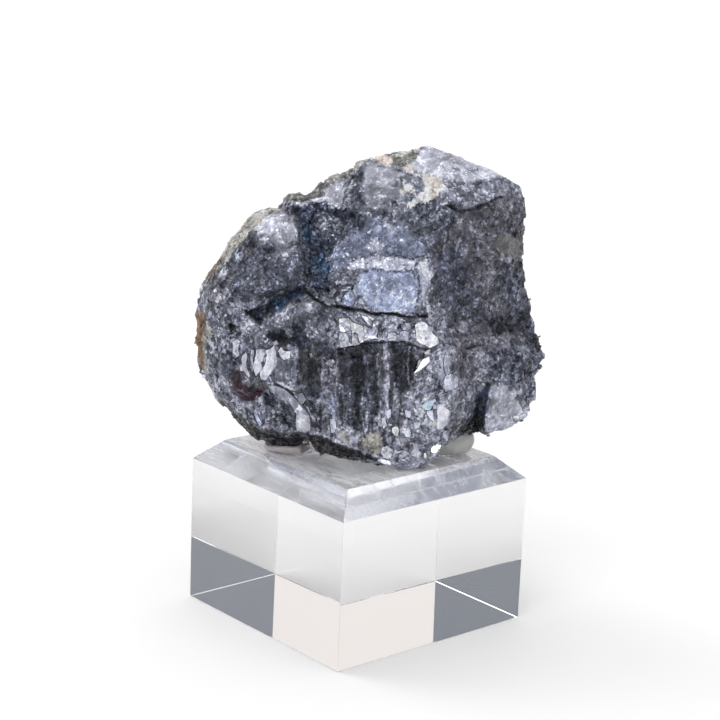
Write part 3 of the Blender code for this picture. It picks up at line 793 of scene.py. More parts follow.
# Where the worked skin is drawn a little way to the real outline: a spot of the frame, how far
# around it the pull reaches, and how far it goes to the right and down there, all in pixels.
outlinePulls = [
    ((307, 189), 25, (2.0, 7.0)),
    ((360, 163), 18, (-1.7, -3.2)),
    ((474, 161), 26, (-1.4, 4.0)),
    ((525, 250), 28, (-4.0, 0.0)),
    ((529, 277), 24, (-6.0, 0.0)),
    ((533, 326), 16, (2.8, 0.0)),
    ((480, 434), 18, (0.5, 3.2)),
    ((201, 282), 20, (-2.6, -0.6)),
    ((217, 399), 18, (-2.2, 1.7)),
    ((340, 445), 34, (0.0, 8.0)),
    ((372, 456), 26, (0.0, 5.0)),
    ((430, 456), 22, (7.0, 1.0)),
    ((445, 443), 18, (2.5, 3.0)),
    ((410, 148), 20, (0.4, 2.6)),
    ((514, 180), 18, (2.0, -1.8)),
    ((195, 328), 16, (2.2, 0.0)),
]


def drawToOutline(points):
    spots, depth = frameSpots(points)
    pixel = depth * cameraView["sensor"] / cameraView["lens"] / cameraView["frameSide"]
    for spot, reach, (right, down) in outlinePulls:
        away = np.linalg.norm(spots - spot, axis=1) / reach
        share = pixel * np.clip(1 - away ** 2, 0, 1) ** 2
        points = points + share[:, None] * (lookRight * right - lookUp * down)
    return points


def frontView(mesh, points):
    # for each point: its spot in the frame, how plainly it shows there from 0 to 1, and how far
    # and which way the edge of an outline strays as it follows the broken crystals
    normals = meshNormals(mesh)
    spots, depth = frameSpots(points)
    facing = ((lookFrom - points) * normals).sum(1) / np.linalg.norm(lookFrom - points, axis=1)

    # what hides what: the nearest depth, in cells two pixels wide
    side = cameraView["frameSide"] // 2 + 40
    cells = np.clip((spots / 2).astype(int), 0, side - 1)
    nearest = np.full((side, side), 1e9)
    np.minimum.at(nearest, (cells[:, 1], cells[:, 0]), depth)
    around = nearest.copy()
    for x in (-1, 0, 1):
        for y in (-1, 0, 1):
            around = np.minimum(around, np.roll(np.roll(nearest, y, 0), x, 1))
    behind = depth - around[cells[:, 1], cells[:, 0]]
    seen = ramp(facing, *marking["facing"]) * (1 - ramp(behind, *marking["behind"]))

    flat = np.c_[spots, np.zeros(len(spots))]
    stray = np.zeros_like(spots)
    for size, share, salt in marking["strays"]:
        middles, _ = grainOf(flat * [1, 0.7, 1], size, salt)
        stray += share * (chanceVector(middles, salt + 5)[:, :2] - 0.5) * 2
    return {"spots": spots, "seen": seen, "stray": stray}


def zonePick(front, zone, low, high):
    # the points in reach of an outline, and how far each one belongs to it
    pick = np.flatnonzero((front["seen"] > 0.02) & near(front["spots"], zone["course"], marking["zoneReach"]))
    edge = front["spots"][pick] + zone.get("ragged", marking["ragged"]) * front["stray"][pick]
    return pick, front["seen"][pick] * ramp(insideBy(edge, zone["course"]), low, high)


def linePick(front, line, low, high):
    pick = np.flatnonzero((front["seen"] > 0.02) & near(front["spots"], line["course"], marking["lineReach"]))
    edge = front["spots"][pick] + line.get("ragged", marking["lineRagged"]) * front["stray"][pick]
    away = lineBy(edge, line["course"]) / line["width"]
    return pick, front["seen"][pick] * (1 - ramp(away, low, high))


def near(spots, course, margin):
    corners = np.array(course, float)
    return ((spots > corners.min(0) - margin) & (spots < corners.max(0) + margin)).all(1)


def pressFlat(points, share, face):
    # moves points to the plane through them, or to one that faces the way that is asked
    inner = points[share > 0.6]
    if len(inner) < 12:
        return points
    middle = inner.mean(0)
    normal = np.linalg.svd(inner - middle, full_matrices=False)[2][2]
    if face:
        normal = np.array(face) / np.linalg.norm(face)
    most = marking["mostPressed"]
    drop = np.clip((points - middle) @ normal, -most, most)
    return points - (share * drop)[:, None] * normal


def carveFront(points, front):
    # presses, sinks and cuts the marks of the front, and says where it is calm and where ribbed
    inward = points - lookFrom
    inward /= np.linalg.norm(inward, axis=1)[:, None]
    calm = stone["hiddenCalm"] + (1 - stone["hiddenCalm"]) * front["seen"]
    stripes = np.zeros(len(points))
    for zone in frontZones.values():
        soft = zone.get("soft", marking["soft"])
        pick, share = zonePick(front, zone, -soft, soft)
        polish, streaks = finishes[zone["finish"]][2:4]
        calm[pick] += share * (1 - marking["polishCalm"] * polish - calm[pick])
        stripes[pick] += share * (streaks - stripes[pick])
        if "flat" in zone:
            points[pick] = pressFlat(points[pick], share * zone["flat"], zone.get("face"))
            calm[pick] *= 1 - marking["flatCalm"] * share * zone["flat"]
        if "sink" in zone:
            pick, share = zonePick(front, zone, *marking["sinkEdge"])
            points[pick] += inward[pick] * (share * zone["sink"])[:, None]
    for line in frontLines.values():
        pick, share = linePick(front, line, *marking["cutEdge"])
        points[pick] += inward[pick] * (share * line["depth"])[:, None]
    for plate in frontPlates.values():
        pick = np.flatnonzero((front["seen"] > 0.5) & near(front["spots"], plate["course"], 3))
        share = ramp(insideBy(front["spots"][pick], plate["course"]), -1.5, 0.5)
        points[pick] += inward[pick] * (share * plates["bed"])[:, None]
        calm[pick] *= 1 - marking["plateCalm"] * share
    return points, calm, stripes


def keepInside(mesh, points, node):
    # the worked skin keeps inside the solid's own box
    lowest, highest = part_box(node)
    row = np.clip(points @ stoneToRow.T * mm, np.array(lowest), np.array(highest))
    placePoints(mesh, row @ stoneToRow / mm)


def strayed(points):
    # points moved about a little, so that the borders of large grains aren't straight
    broad, fine, fineShare, most = stone["stray"]
    moves = [softNoise(points, broad, 60 + k) + softNoise(points, fine, 63 + k) * fineShare
             for k in (0, 1, 2)]
    return points + most * np.stack(moves, 1)


def thinned(mesh, seen):
    # fewer triangles, and more of them kept where fine marks need them
    carrier = bpy.data.objects.new("carrier", mesh)
    home.objects.link(carrier)
    group = carrier.vertex_groups.new(name="thin")
    levels, less = stone["thinLevels"]
    for level in range(levels + 1):
        there = np.flatnonzero(np.round(seen * levels) == level)
        group.add(there.tolist(), 1 - level * less, "REPLACE")
    thin = carrier.modifiers.new("thin", "DECIMATE")
    thin.ratio = stone["mostTriangles"] / triangleCount(mesh)
    thin.vertex_group = "thin"
    made = evaluatedMesh(carrier)
    bpy.data.objects.remove(carrier)
    bpy.data.meshes.remove(mesh)
    return made


def shapeStone():
    size = stone["skin"]
    mesh = modified(weldedCopy("antimony"), "REMESH", mode="VOXEL", voxel_size=size * mm)
    print("stone skin:", len(mesh.vertices), "points")
    points = drawToOutline(meshPoints(mesh))
    placePoints(mesh, points)
    front = frontView(mesh, points)
    points, calm, stripes = carveFront(points, front)
    placePoints(mesh, points)
    normals = meshNormals(mesh)

    # upright striation: ribs that run down the stone and wander a little
    drawnOut, wander, broad, fine, high = stone["ribs"]
    ribs = points * [1, 1, drawnOut] + (softNoise(points, 3, 50)[:, None] - 0.5) * wander
    ridge = softNoise(ribs, broad, 51) + 0.6 * softNoise(ribs, fine, 52) - 0.8
    relief = stripes * ridge * high

    # away from the front, larger clean breaks take the place of the outlined ones
    relief += (1 - front["seen"]) * facets(strayed(points), *stone["cleavage"])
    for place, (grain, lean, step) in enumerate(stone["grains"]):
        relief += calm * facets(points, grain, stone["seed"] + 100 * place, lean, step)
    keepInside(mesh, points + normals * relief[:, None], "antimony")
    mesh = thinned(modified(mesh, "TRIANGULATE"), front["seen"])
    print("stone:", triangleCount(mesh), "triangles")
    return mesh


def finishValues(name, shade):
    tone, *kind = finishes[name]
    return np.array([part * shade for part in linearColour(tone)]), np.array(kind)


def paintPoints(mesh, tones, kinds):
    # the two colours that the material reads
    for name, values in (("groundTone", np.c_[tones, np.ones(len(tones))]), ("surfaceKind", kinds)):
        layer = mesh.color_attributes.new(name, "FLOAT_COLOR", "POINT")
        layer.data.foreach_set("color", values.astype(np.float32).ravel())


def hollowness(mesh, points, normals):
    # how far each point lies below its neighbours, in mm, over three rings of them
    edges = np.empty(len(mesh.edges) * 2, np.int32)
    mesh.edges.foreach_get("vertices", edges)
    edges = edges.reshape(-1, 2)
    count = np.bincount(edges.ravel(), minlength=len(points))[:, None]
    around = points
    for _ in range(3):
        total = np.zeros_like(points)
        for k in (0, 1, 2):
            total[:, k] = np.bincount(edges[:, 0], around[edges[:, 1], k], len(points))
            total[:, k] += np.bincount(edges[:, 1], around[edges[:, 0], k], len(points))
        around = total / count
    return ((around - points) * normals).sum(1)


def paintStone(mesh):
    # for each point its ground tone, which holds painted light and shade, and how much it has of flecks
    # painted as glints, polish, streaks and earth
    points = meshPoints(mesh)
    normals = meshNormals(mesh)
    front = frontView(mesh, points)
    tones = np.zeros((len(points), 3))
    kinds = np.zeros((len(points), 4))

    def lay(pick, share, name, shade=1.0):
        tone, kind = finishValues(name, shade)
        tones[pick] += share[:, None] * (tone - tones[pick])
        kinds[pick] += share[:, None] * (kind - kinds[pick])

    # each clean break of the hidden sides has one finish and a lightness of its own, set at random as painted
    # light and shade for the way it faces
    size, seed = stone["cleavage"][:2]
    cells, _ = grainOf(strayed(points), size, seed)
    lot = chance(cells, 140)
    start = 0.0
    for name, part in sideGrains.items():
        pick = np.flatnonzero((lot >= start) & (lot < start + part))
        start += part
        lay(pick, np.ones(len(pick)), name)
    least, spread = stone["breakLightAndShade"]
    tones *= (least + spread * chance(cells, 141))[:, None]
    height = points[:, 2]
    everywhere = np.arange(len(points))
    for place, (name, size, part, (low, high)) in enumerate(sidePatches):
        field = softNoise(points, size, 200 + place) + 0.5 * softNoise(points, size / 4, 220 + place) - 0.25
        field -= 0.6 * (1 - ramp(height, low - 2, low + 2) * (1 - ramp(height, high - 2, high + 2)))
        bar = 1 - part ** 0.8 * 0.95
        lay(everywhere, 0.85 * ramp(field, bar - 0.12, bar + 0.08), name)
    # painted light: what faces up on the hidden sides is painted brighter, as if lit from above
    lift = 1 + stone["paintedTopLight"] * ramp(normals[:, 2], 0.3, 0.9) * (1 - front["seen"])
    tones *= lift[:, None]

    for zone in frontZones.values():
        soft = zone.get("soft", marking["soft"])
        lay(*zonePick(front, zone, -soft, soft), zone["finish"], zone["shade"])
    for line in frontLines.values():
        lay(*linePick(front, line, *marking["paintEdge"]), line["finish"], line["shade"])

    # painted highlight and shade: edges are painted lighter and hollows darker
    edgeLightHollowShade = np.clip(hollowness(mesh, points, normals) / stone["edgeShadeMm"], -1, 1)
    tones *= (1 - stone["edgeHighlightHollowShade"] * edgeLightHollowShade)[:, None]
    paintPoints(mesh, tones, kinds)
    glintFlecks, polish, _, earth = kinds.T
    return (glintFlecks * 2.2) ** 2 * (1 - earth) * np.clip(1 - polish * 1.4, 0, 1)


# Native antimony: a brittle grey-white metal with a faint blue cast, broken by hand. It gives the
# eye a mosaic of small mirrors, some dark and some alight, with a dull tarnish between them.
metal = {
    # broken grains, crystals and glitter; real glitter is finer, this is the finest that shows
    "grainsMm": (1.0, 0.5, 0.27),
    "grainTones": (0.2, 0.22, 0.14),        # how much each of them adds to the tone
    "grainLeans": (0.5, 0.9, 0.8),
    "glintFlecks": ((0.2, 1.0), (0.45, 1.8), (0.5, 2.0)),    # how readily each lights up, and how bright
    # how light each part of the spread of tones is
    "toneStops": ((0.2, 0.1), (0.4, 0.44), (0.54, 0.95), (0.68, 1.8), (0.84, 3.1)),
    "wander": 0.6,              # mm that the grains' borders wander
    "wandersPerMm": 1.6,
    "blotchesPerMm": 0.7,
    "cloudsPerMm": 0.35,
    "streaksPerMm": (1.7, 1.7, 0.16),
    "curlMm": 0.6,
    "curlPatchesPerMm": 1.1,
    "curlGain": 0.9,
    "brightest": (0.78, 0.79, 0.82),
    "metallic": 0.7,
    "dust": 0.2,
}


def antimonyMetal():
    made, tree, shader = newMaterial("native_antimony_broken")
    place = addNode(tree, "TexCoord")
    inMm = addNode(tree, "VectorMath", {0: place.outputs["Object"], "Scale": 1 / mm}, operation="SCALE")
    wander = addNode(tree, "TexNoise", {"Vector": inMm, "Scale": metal["wandersPerMm"], "Detail": 4.0})
    wandered = addNode(tree, "VectorMath", {
        0: wander.outputs["Color"], 1: (metal["wander"],) * 3, 2: inMm}, operation="MULTIPLY_ADD")
    ground = addNode(tree, "Attribute", attribute_name="groundTone")
    kind = addNode(tree, "Attribute", attribute_name="surfaceKind")
    glintFlecks, polish, streaks = addNode(tree, "SeparateColor", {0: kind.outputs["Color"]}).outputs
    earth = kind.outputs["Alpha"]

    # each grain has a colour of its own by chance, and where the stone is striated the crystals
    # are drawn out upright
    own = [addNode(tree, "TexVoronoi", {"Vector": wandered, "Scale": 1 / size}).outputs["Color"]
           for size in metal["grainsMm"]]
    upright = addNode(tree, "VectorMath", {0: wandered, 1: (1, 1, 0.2)}, operation="MULTIPLY")
    drawnOut = addNode(tree, "TexVoronoi", {"Vector": upright, "Scale": 1.2 / metal["grainsMm"][1]})
    own[1] = addNode(tree, "Mix", {
        0: streaks, 6: own[1], 7: drawnOut.outputs["Color"]}, data_type="RGBA").outputs[2]
    parts = [addNode(tree, "SeparateColor", {0: lot}).outputs for lot in own]

    # tarnish lies on the grains in worm-like blotches, and each grain has a tone of its own
    blotch = addNode(tree, "TexNoise", {
        "Vector": inMm, "Scale": metal["blotchesPerMm"], "Detail": 6.0, "Roughness": 0.68, "Distortion": 0.9})
    tone = addNode(tree, "MapRange", {"Value": blotch, "From Min": 0.28, "From Max": 0.72, "To Max": 0.44})
    for part, weight in zip(parts, metal["grainTones"]):
        tone = addNode(tree, "Math", {0: part[0], 1: weight, 2: tone}, operation="MULTIPLY_ADD")
    spread = addNode(tree, "ValToRGB", {0: tone})
    stops = spread.color_ramp.elements
    for spot, value in metal["toneStops"]:
        stops.new(spot).color = (value, value, value, 1)
    stops.remove(stops[0])
    stops.remove(stops[-1])
    smooth = addNode(tree, "Math", {0: polish, 1: 0.85}, operation="MULTIPLY")
    rough = addNode(tree, "Math", {0: 1.0, 1: smooth}, operation="SUBTRACT")
    earthless = addNode(tree, "Math", {0: earth, 1: -0.6, 2: 1.0}, operation="MULTIPLY_ADD")
    uneven = addNode(tree, "Math", {0: rough, 1: earthless}, operation="MULTIPLY")
    offTone = addNode(tree, "Math", {0: spread, 1: 1.0}, operation="SUBTRACT")
    scatter = addNode(tree, "Math", {0: offTone, 1: uneven, 2: 1.0}, operation="MULTIPLY_ADD")

    # thin bright curls, where a cleavage edge winds through the tarnish
    curl = addNode(tree, "TexNoise", {
        "Vector": wandered, "Scale": 0.8 / metal["curlMm"], "Detail": 2.0, "Roughness": 0.5})
    offRidge = addNode(tree, "Math", {0: curl, 1: 0.5}, operation="SUBTRACT")
    offRidge = addNode(tree, "Math", {0: offRidge}, operation="ABSOLUTE")
    onRidge = addNode(tree, "MapRange", {
        "Value": offRidge, "From Min": 0.006, "From Max": 0.03, "To Min": 1.0, "To Max": 0.0})
    patches = addNode(tree, "TexNoise", {"Vector": inMm, "Scale": metal["curlPatchesPerMm"], "Detail": 3.0})
    shown = addNode(tree, "MapRange", {"Value": patches, "From Min": 0.45, "From Max": 0.58})
    curled = addNode(tree, "Math", {0: onRidge, 1: shown}, operation="MULTIPLY")
    curled = addNode(tree, "Math", {0: curled, 1: uneven}, operation="MULTIPLY")
    scatter = addNode(tree, "Math", {0: curled, 1: metal["curlGain"], 2: scatter}, operation="MULTIPLY_ADD")

    # upright streaks, drawn out along the stone's height
    drawn = addNode(tree, "VectorMath", {0: wandered, 1: metal["streaksPerMm"]}, operation="MULTIPLY")
    lines = addNode(tree, "TexNoise", {"Vector": drawn, "Scale": 1.0, "Detail": 4.0, "Roughness": 0.65})
    bars = addNode(tree, "MapRange", {
        "Value": lines, "From Min": 0.36, "From Max": 0.64, "To Min": 0.2, "To Max": 2.2})
    bars = addNode(tree, "Math", {0: bars, 1: 1.0}, operation="SUBTRACT")
    streaked = addNode(tree, "Math", {0: bars, 1: streaks, 2: 1.0}, operation="MULTIPLY_ADD")

    # slow clouds of tarnish
    cloud = addNode(tree, "TexNoise", {"Vector": inMm, "Scale": metal["cloudsPerMm"], "Detail": 4.0})
    clouds = addNode(tree, "MapRange", {
        "Value": cloud, "From Min": 0.3, "From Max": 0.7, "To Min": 0.6, "To Max": 1.45})

    # painted glints: flecks of the colour made bright for crystals turned to the light, each one cut short by
    # the tarnish
    bright = []
    for part, (share, gain) in zip(parts, metal["glintFlecks"]):
        above = addNode(tree, "Math", {0: blotch, 1: 0.5, 2: part[1]}, operation="MULTIPLY_ADD")
        above = addNode(tree, "Math", {0: above, 1: 1.25}, operation="SUBTRACT")
        above = addNode(tree, "Math", {0: glintFlecks, 1: share, 2: above}, operation="MULTIPLY_ADD")
        bright.append(addNode(tree, "MapRange", {"Value": above, "From Max": 0.06, "To Max": gain}))
    paintedGlint = addNode(tree, "Math", {0: bright[0], 1: bright[1]}, operation="MAXIMUM")
    paintedGlint = addNode(tree, "Math", {0: paintedGlint, 1: bright[2]}, operation="MAXIMUM")
    glintLift = addNode(tree, "Math", {0: paintedGlint, 1: 1.0}, operation="ADD")
    whole = scatter
    for factor in (streaked, clouds, glintLift):
        whole = addNode(tree, "Math", {0: whole, 1: factor}, operation="MULTIPLY")
    toned = addNode(tree, "VectorMath", {0: ground.outputs["Color"], "Scale": whole}, operation="SCALE")
    colour = addNode(tree, "VectorMath", {0: toned, 1: metal["brightest"]}, operation="MINIMUM")

    roughness = addNode(tree, "MapRange", {"Value": parts[1][2], "To Min": 0.28, "To Max": 0.6})
    smoother = addNode(tree, "Math", {0: polish, 1: -0.22, 2: roughness}, operation="MULTIPLY_ADD")
    dusty = addNode(tree, "Math", {0: earth, 1: 0.35, 2: smoother}, operation="MULTIPLY_ADD")
    bare = addNode(tree, "Math", {0: 1.0, 1: earth}, operation="SUBTRACT")
    metallic = addNode(tree, "Math", {0: bare, 1: metal["metallic"]}, operation="MULTIPLY")

    # every grain faces its own way
    turn = (0, 0, 0)
    for lot, lean in zip(own, metal["grainLeans"]):
        away = addNode(tree, "VectorMath", {0: lot, 1: (0.5, 0.5, 0.5)}, operation="SUBTRACT")
        turn = addNode(tree, "VectorMath", {0: away, 1: (lean,) * 3, 2: turn}, operation="MULTIPLY_ADD")
    calmed = addNode(tree, "VectorMath", {0: turn, "Scale": rough}, operation="SCALE")
    surface = addNode(tree, "NewGeometry")
    turned = addNode(tree, "VectorMath", {0: surface.outputs["Normal"], 1: calmed}, operation="ADD")
    facing = addNode(tree, "VectorMath", {0: turned}, operation="NORMALIZE")

    looks = {"Base Color": colour, "Roughness": dusty, "Metallic": metallic, "Normal": facing}
    for socket, look in looks.items():
        tree.links.new(look.outputs[0], shader.inputs[socket])
    shader.inputs["Sheen Weight"].default_value = metal["dust"]
    return made


# Cleavage flakes: small flat crystals of the same metal, half sunk in the broken grains, each one
# turned its own way, so that a few catch the light whole.
flakes = {
    "mostPerMm2": 1.0,
    "seed": 11,
    "narrow": (0.3, 0.25, 0.1),     # mm
    "wide": (1.0, 0.8, 0.18),
    "tiltDegrees": 16,
    "brightest": (0.7, 0.71, 0.74),
    "roughness": 0.34,
}


def flakeTree(material):
    tree = bpy.data.node_groups.new("flakes", "GeometryNodeTree")
    tree.interface.new_socket("Stone", in_out="INPUT", socket_type="NodeSocketGeometry")
    most = tree.interface.new_socket("Most per square mm", in_out="INPUT", socket_type="NodeSocketFloat")
    seed = tree.interface.new_socket("Seed", in_out="INPUT", socket_type="NodeSocketInt")
    tree.interface.new_socket("Flakes", in_out="OUTPUT", socket_type="NodeSocketGeometry")
    given = addNode(tree, "NodeGroupInput").outputs
    share = addNode(tree, "GeometryNodeInputNamedAttribute", {"Name": "flakeShare"}, data_type="FLOAT")
    thick = addNode(tree, "Math", {
        0: share.outputs["Attribute"], 1: given["Most per square mm"]}, operation="MULTIPLY")
    perMetre = addNode(tree, "Math", {0: thick, 1: 1 / mm ** 2}, operation="MULTIPLY")
    spread = addNode(tree, "GeometryNodeDistributePointsOnFaces", {
        "Mesh": given["Stone"], "Density": perMetre, "Seed": given["Seed"]}).outputs
    tilt = math.radians(flakes["tiltDegrees"])
    turn = addNode(tree, "FunctionNodeRandomValue", {
        0: (-tilt, -tilt, 0), 1: (tilt, tilt, math.tau), "Seed": given["Seed"]}, data_type="FLOAT_VECTOR")
    asTurn = addNode(tree, "FunctionNodeEulerToRotation", {0: turn})
    facing = addNode(tree, "FunctionNodeRotateRotation", {
        0: spread["Rotation"], 1: asTurn}, rotation_space="LOCAL")
    size = addNode(tree, "FunctionNodeRandomValue", {
        0: [side * mm for side in flakes["narrow"]], 1: [side * mm for side in flakes["wide"]], "ID": 5,
        "Seed": given["Seed"]}, data_type="FLOAT_VECTOR")
    chip = addNode(tree, "GeometryNodeMeshCylinder", {
        "Vertices": 4, "Radius": 0.5, "Depth": 1.0}, fill_type="NGON")
    placed = addNode(tree, "GeometryNodeInstanceOnPoints", {
        "Points": spread["Points"], "Instance": chip, "Rotation": facing, "Scale": size})
    tone = addNode(tree, "FunctionNodeRandomValue", {
        2: 0.0, 3: 1.0, "Seed": given["Seed"]}, data_type="FLOAT")
    toned = addNode(tree, "GeometryNodeStoreNamedAttribute", {
        "Geometry": placed, "Name": "flakeTone", "Value": tone.outputs[1]},
        data_type="FLOAT", domain="INSTANCE")
    real = addNode(tree, "GeometryNodeRealizeInstances", {0: toned})
    finished = addNode(tree, "GeometryNodeSetMaterial", {"Geometry": real, "Material": material})
    addNode(tree, "NodeGroupOutput", {0: finished})
    return tree, most.identifier, seed.identifier


def flakeMetal():
    # the same antimony on a fresh cleavage face: flat, even and bright, or dull where it is tarnished
    made, tree, shader = newMaterial("native_antimony_flake")
    ground = addNode(tree, "Attribute", attribute_name="groundTone")
    own = addNode(tree, "Attribute", attribute_name="flakeTone")
    gain = addNode(tree, "MapRange", {"Value": own.outputs["Fac"], "To Min": 0.4, "To Max": 2.2})
    toned = addNode(tree, "VectorMath", {0: ground.outputs["Color"], "Scale": gain}, operation="SCALE")
    colour = addNode(tree, "VectorMath", {0: toned, 1: flakes["brightest"]}, operation="MINIMUM")
    tree.links.new(colour.outputs[0], shader.inputs["Base Color"])
    shader.inputs["Metallic"].default_value = metal["metallic"]
    shader.inputs["Roughness"].default_value = flakes["roughness"]
    return made


def makeFlakes(mesh, share):
    layer = mesh.attributes.new("flakeShare", "FLOAT", "POINT")
    layer.data.foreach_set("value", share.astype(np.float32))
    material = flakeMetal()
    tree, most, seed = flakeTree(material)
    carrier = bpy.data.objects.new("carrier", mesh)
    home.objects.link(carrier)
    scatter = carrier.modifiers.new("flakes", "NODES")
    scatter.node_group = tree
    scatter[most] = flakes["mostPerMm2"]
    scatter[seed] = flakes["seed"]
    made = evaluatedMesh(carrier)
    bpy.data.objects.remove(carrier)
    mesh.attributes.remove(layer)
    keepInside(made, meshPoints(made), "antimony")
    made.name = "cleavage_flakes"
    newPiece("cleavage_flakes", made, material, None)
    print("flakes:", triangleCount(made), "triangles")


def jagged(course, salt):
    # an outline with a small break in each of its longer edges
    corners = []
    for place, (start, end) in enumerate(zip(course, course[1:] + course[:1])):
        start, end = np.array(start, float), np.array(end, float)
        corners.append(start)
        if np.linalg.norm(end - start) > plates["longEdge"]:
            luck = chanceVector(np.array([[place, salt, 3]]), 400)[0]
            aside = (luck[1:] - 0.5) * plates["breakWidth"]
            corners.append(start + (end - start) * (0.35 + 0.3 * luck[0]) + aside)
    return corners


def makePlates(mesh):
    points = meshPoints(mesh)
    front = frontView(mesh, points)
    bm = bmesh.new()
    looks = []
    for salt, plate in enumerate(frontPlates.values()):
        course = plate["course"]
        pick = np.flatnonzero((front["seen"] > 0.5) & near(front["spots"], course, 1))
        under = points[pick[insideBy(front["spots"][pick], course) > -0.5]]
        if len(under) < 6:
            continue
        middle = under.mean(0)
        normal = np.linalg.svd(under - middle, full_matrices=False)[2][2]
        if "face" in plate:
            normal = np.array(plate["face"]) / np.linalg.norm(plate["face"])
        normal *= np.sign(normal @ (lookFrom - middle))
        toEye = (lookFrom - middle) / np.linalg.norm(lookFrom - middle)
        normal += toEye * plates["facing"]
        normal /= np.linalg.norm(normal)
        middle = middle + normal * (np.percentile((under - middle) @ normal, 85) + plates["lift"])
        corners = []
        for x, y in jagged(course, salt):
            ray = lookRight * (x - halfFrame) / focal - lookUp * (y - halfFrame) / focal - lookBack
            corners.append(lookFrom + ray * ((middle - lookFrom) @ normal) / (ray @ normal))
        rings = [[bm.verts.new(stoneToRow @ (corner - normal * deep) * mm) for corner in corners]
                 for deep in (0, plates["thick"])]
        bm.faces.new(rings[0])
        bm.faces.new(rings[1][::-1])
        for k in range(len(corners)):
            after = (k + 1) % len(corners)
            bm.faces.new([rings[0][after], rings[0][k], rings[1][k], rings[1][after]])
        looks += [np.r_[finishValues(plate["finish"], plate["shade"])]] * (2 * len(corners))
    bmesh.ops.recalc_face_normals(bm, faces=bm.faces)
    made = bpy.data.meshes.new("cleavage_plates")
    bm.to_mesh(made)
    bm.free()
    looks = np.array(looks)
    paintPoints(made, looks[:, :3], looks[:, 3:])
    keepInside(made, meshPoints(made), "antimony")
    return made


def makeStone():
    mesh = shapeStone()
    makeFlakes(mesh, paintStone(mesh))
    laid = makePlates(mesh)
    mesh.name = "antimony_mass"
    material = antimonyMetal()
    newPiece("antimony_mass", mesh, material, "antimony")
    newPiece("cleavage_plates", laid, material, None)
    print("stone painted,", len(frontPlates), "plates laid")


# Cast acrylic, sawn, milled and diamond polished: clear as water, with slightly eased edges that
# catch the light and a few fine wipe marks.
block = {
    "easedEdge": 0.22,      # mm
    "footEdge": 0.07,
    "ior": 1.49,
    "wipeMarkMm": 1.5,
    "wipeTurn": (0.2, 0.1, 0.6),
    "cleanTo": 7.8,         # mm from the middle: the smears lie between the stone and the bevels
    "smearedFrom": 10.1,
}

# How each kind of face was left: its tint, roughness where it is clean and where it is marked, how
# far the marks are drawn out, how much of the face they leave bare, and how white they are.
blockFaces = {
    "clear_acrylic_polished": dict(tint="f2f1f1", clean=0.0, marked=0.0, drawn=0.12, bare=1.0, white=0.0),
    # the milled bevels' faint blue tint is painted reflection: the cool cast of what they reflect
    "clear_acrylic_milled": dict(tint="f0f3fd", clean=0.05, marked=0.2, drawn=0.12, bare=0.47, white=0.3),
    "clear_acrylic_smeared": dict(tint="f4f5f8", clean=0.04, marked=0.3, drawn=0.22, bare=0.38, white=0.85),
}


def clearAcrylic(name, look):
    made, tree, shader = newMaterial(name)
    shader.inputs["Transmission Weight"].default_value = 1.0
    shader.inputs["IOR"].default_value = block["ior"]
    shader.inputs["Base Color"].default_value = (*linearColour(look["tint"]), 1)
    shader.inputs["Roughness"].default_value = look["clean"]
    if look["marked"]:
        place = addNode(tree, "TexCoord").outputs["Object"]
        drawn = addNode(tree, "Mapping", {
            0: place, "Rotation": block["wipeTurn"], "Scale": (1 / mm, look["drawn"] / mm, 1 / mm)})
        marks = addNode(tree, "TexNoise", {
            "Vector": drawn, "Scale": 1 / block["wipeMarkMm"], "Detail": 6.0, "Roughness": 0.7})
        haze = addNode(tree, "MapRange", {
            "Value": marks, "From Min": 0.45, "From Max": 0.75, "To Min": look["clean"],
            "To Max": look["marked"]})
        clear = addNode(tree, "MapRange", {
            "Value": marks, "From Min": look["bare"], "From Max": look["bare"] + 0.14, "To Min": 1.0,
            "To Max": 1 - look["white"]})
        parts = addNode(tree, "SeparateXYZ", {0: place}).outputs
        sides = [addNode(tree, "Math", {0: side}, operation="ABSOLUTE") for side in parts[:2]]
        outward = addNode(tree, "Math", {0: sides[0], 1: sides[1]}, operation="MAXIMUM")
        rim = addNode(tree, "MapRange", {
            "Value": outward, "From Min": block["cleanTo"] * mm, "From Max": block["smearedFrom"] * mm})
        seen = addNode(tree, "Mix", {0: rim, 2: 1.0, 3: clear})
        tree.links.new(haze.outputs[0], shader.inputs["Roughness"])
        tree.links.new(seen.outputs[0], shader.inputs["Transmission Weight"])
    return made


def makeBlock():
    mesh = weldedCopy("acrylic_block")
    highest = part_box("acrylic_block")[1]
    foot = block["footEdge"] * mm
    bm = bmesh.new()
    bm.from_mesh(mesh)
    for point in bm.verts:          # the foot's edge is only just broken
        if point.co.z < 1 * mm:
            under = point.co.z < 0.1 * mm
            half = highest.x - foot * under
            point.co = Vector((
                math.copysign(half, point.co.x), math.copysign(half, point.co.y), 0 if under else foot))
    bmesh.ops.dissolve_limit(bm, angle_limit=math.radians(1), verts=bm.verts, edges=bm.edges)
    bm.to_mesh(mesh)
    bm.free()
    mesh = modified(mesh, "BEVEL", width=block["easedEdge"] * mm, segments=2, limit_method="ANGLE",
                    angle_limit=math.radians(20), harden_normals=True)
    mesh.name = "display_block"
    looks = [clearAcrylic(name, look) for name, look in blockFaces.items()]
    newPiece("display_block", mesh, looks[0], "acrylic_block")
    for look in looks[1:]:
        mesh.materials.append(look)
    for face in mesh.polygons:
        if face.area > (5 * mm) ** 2 and face.normal.z > 0.2:
            face.material_index = 1 if face.normal.z < 0.95 else 2
    print("block cut, with", len(looks), "kinds of face")


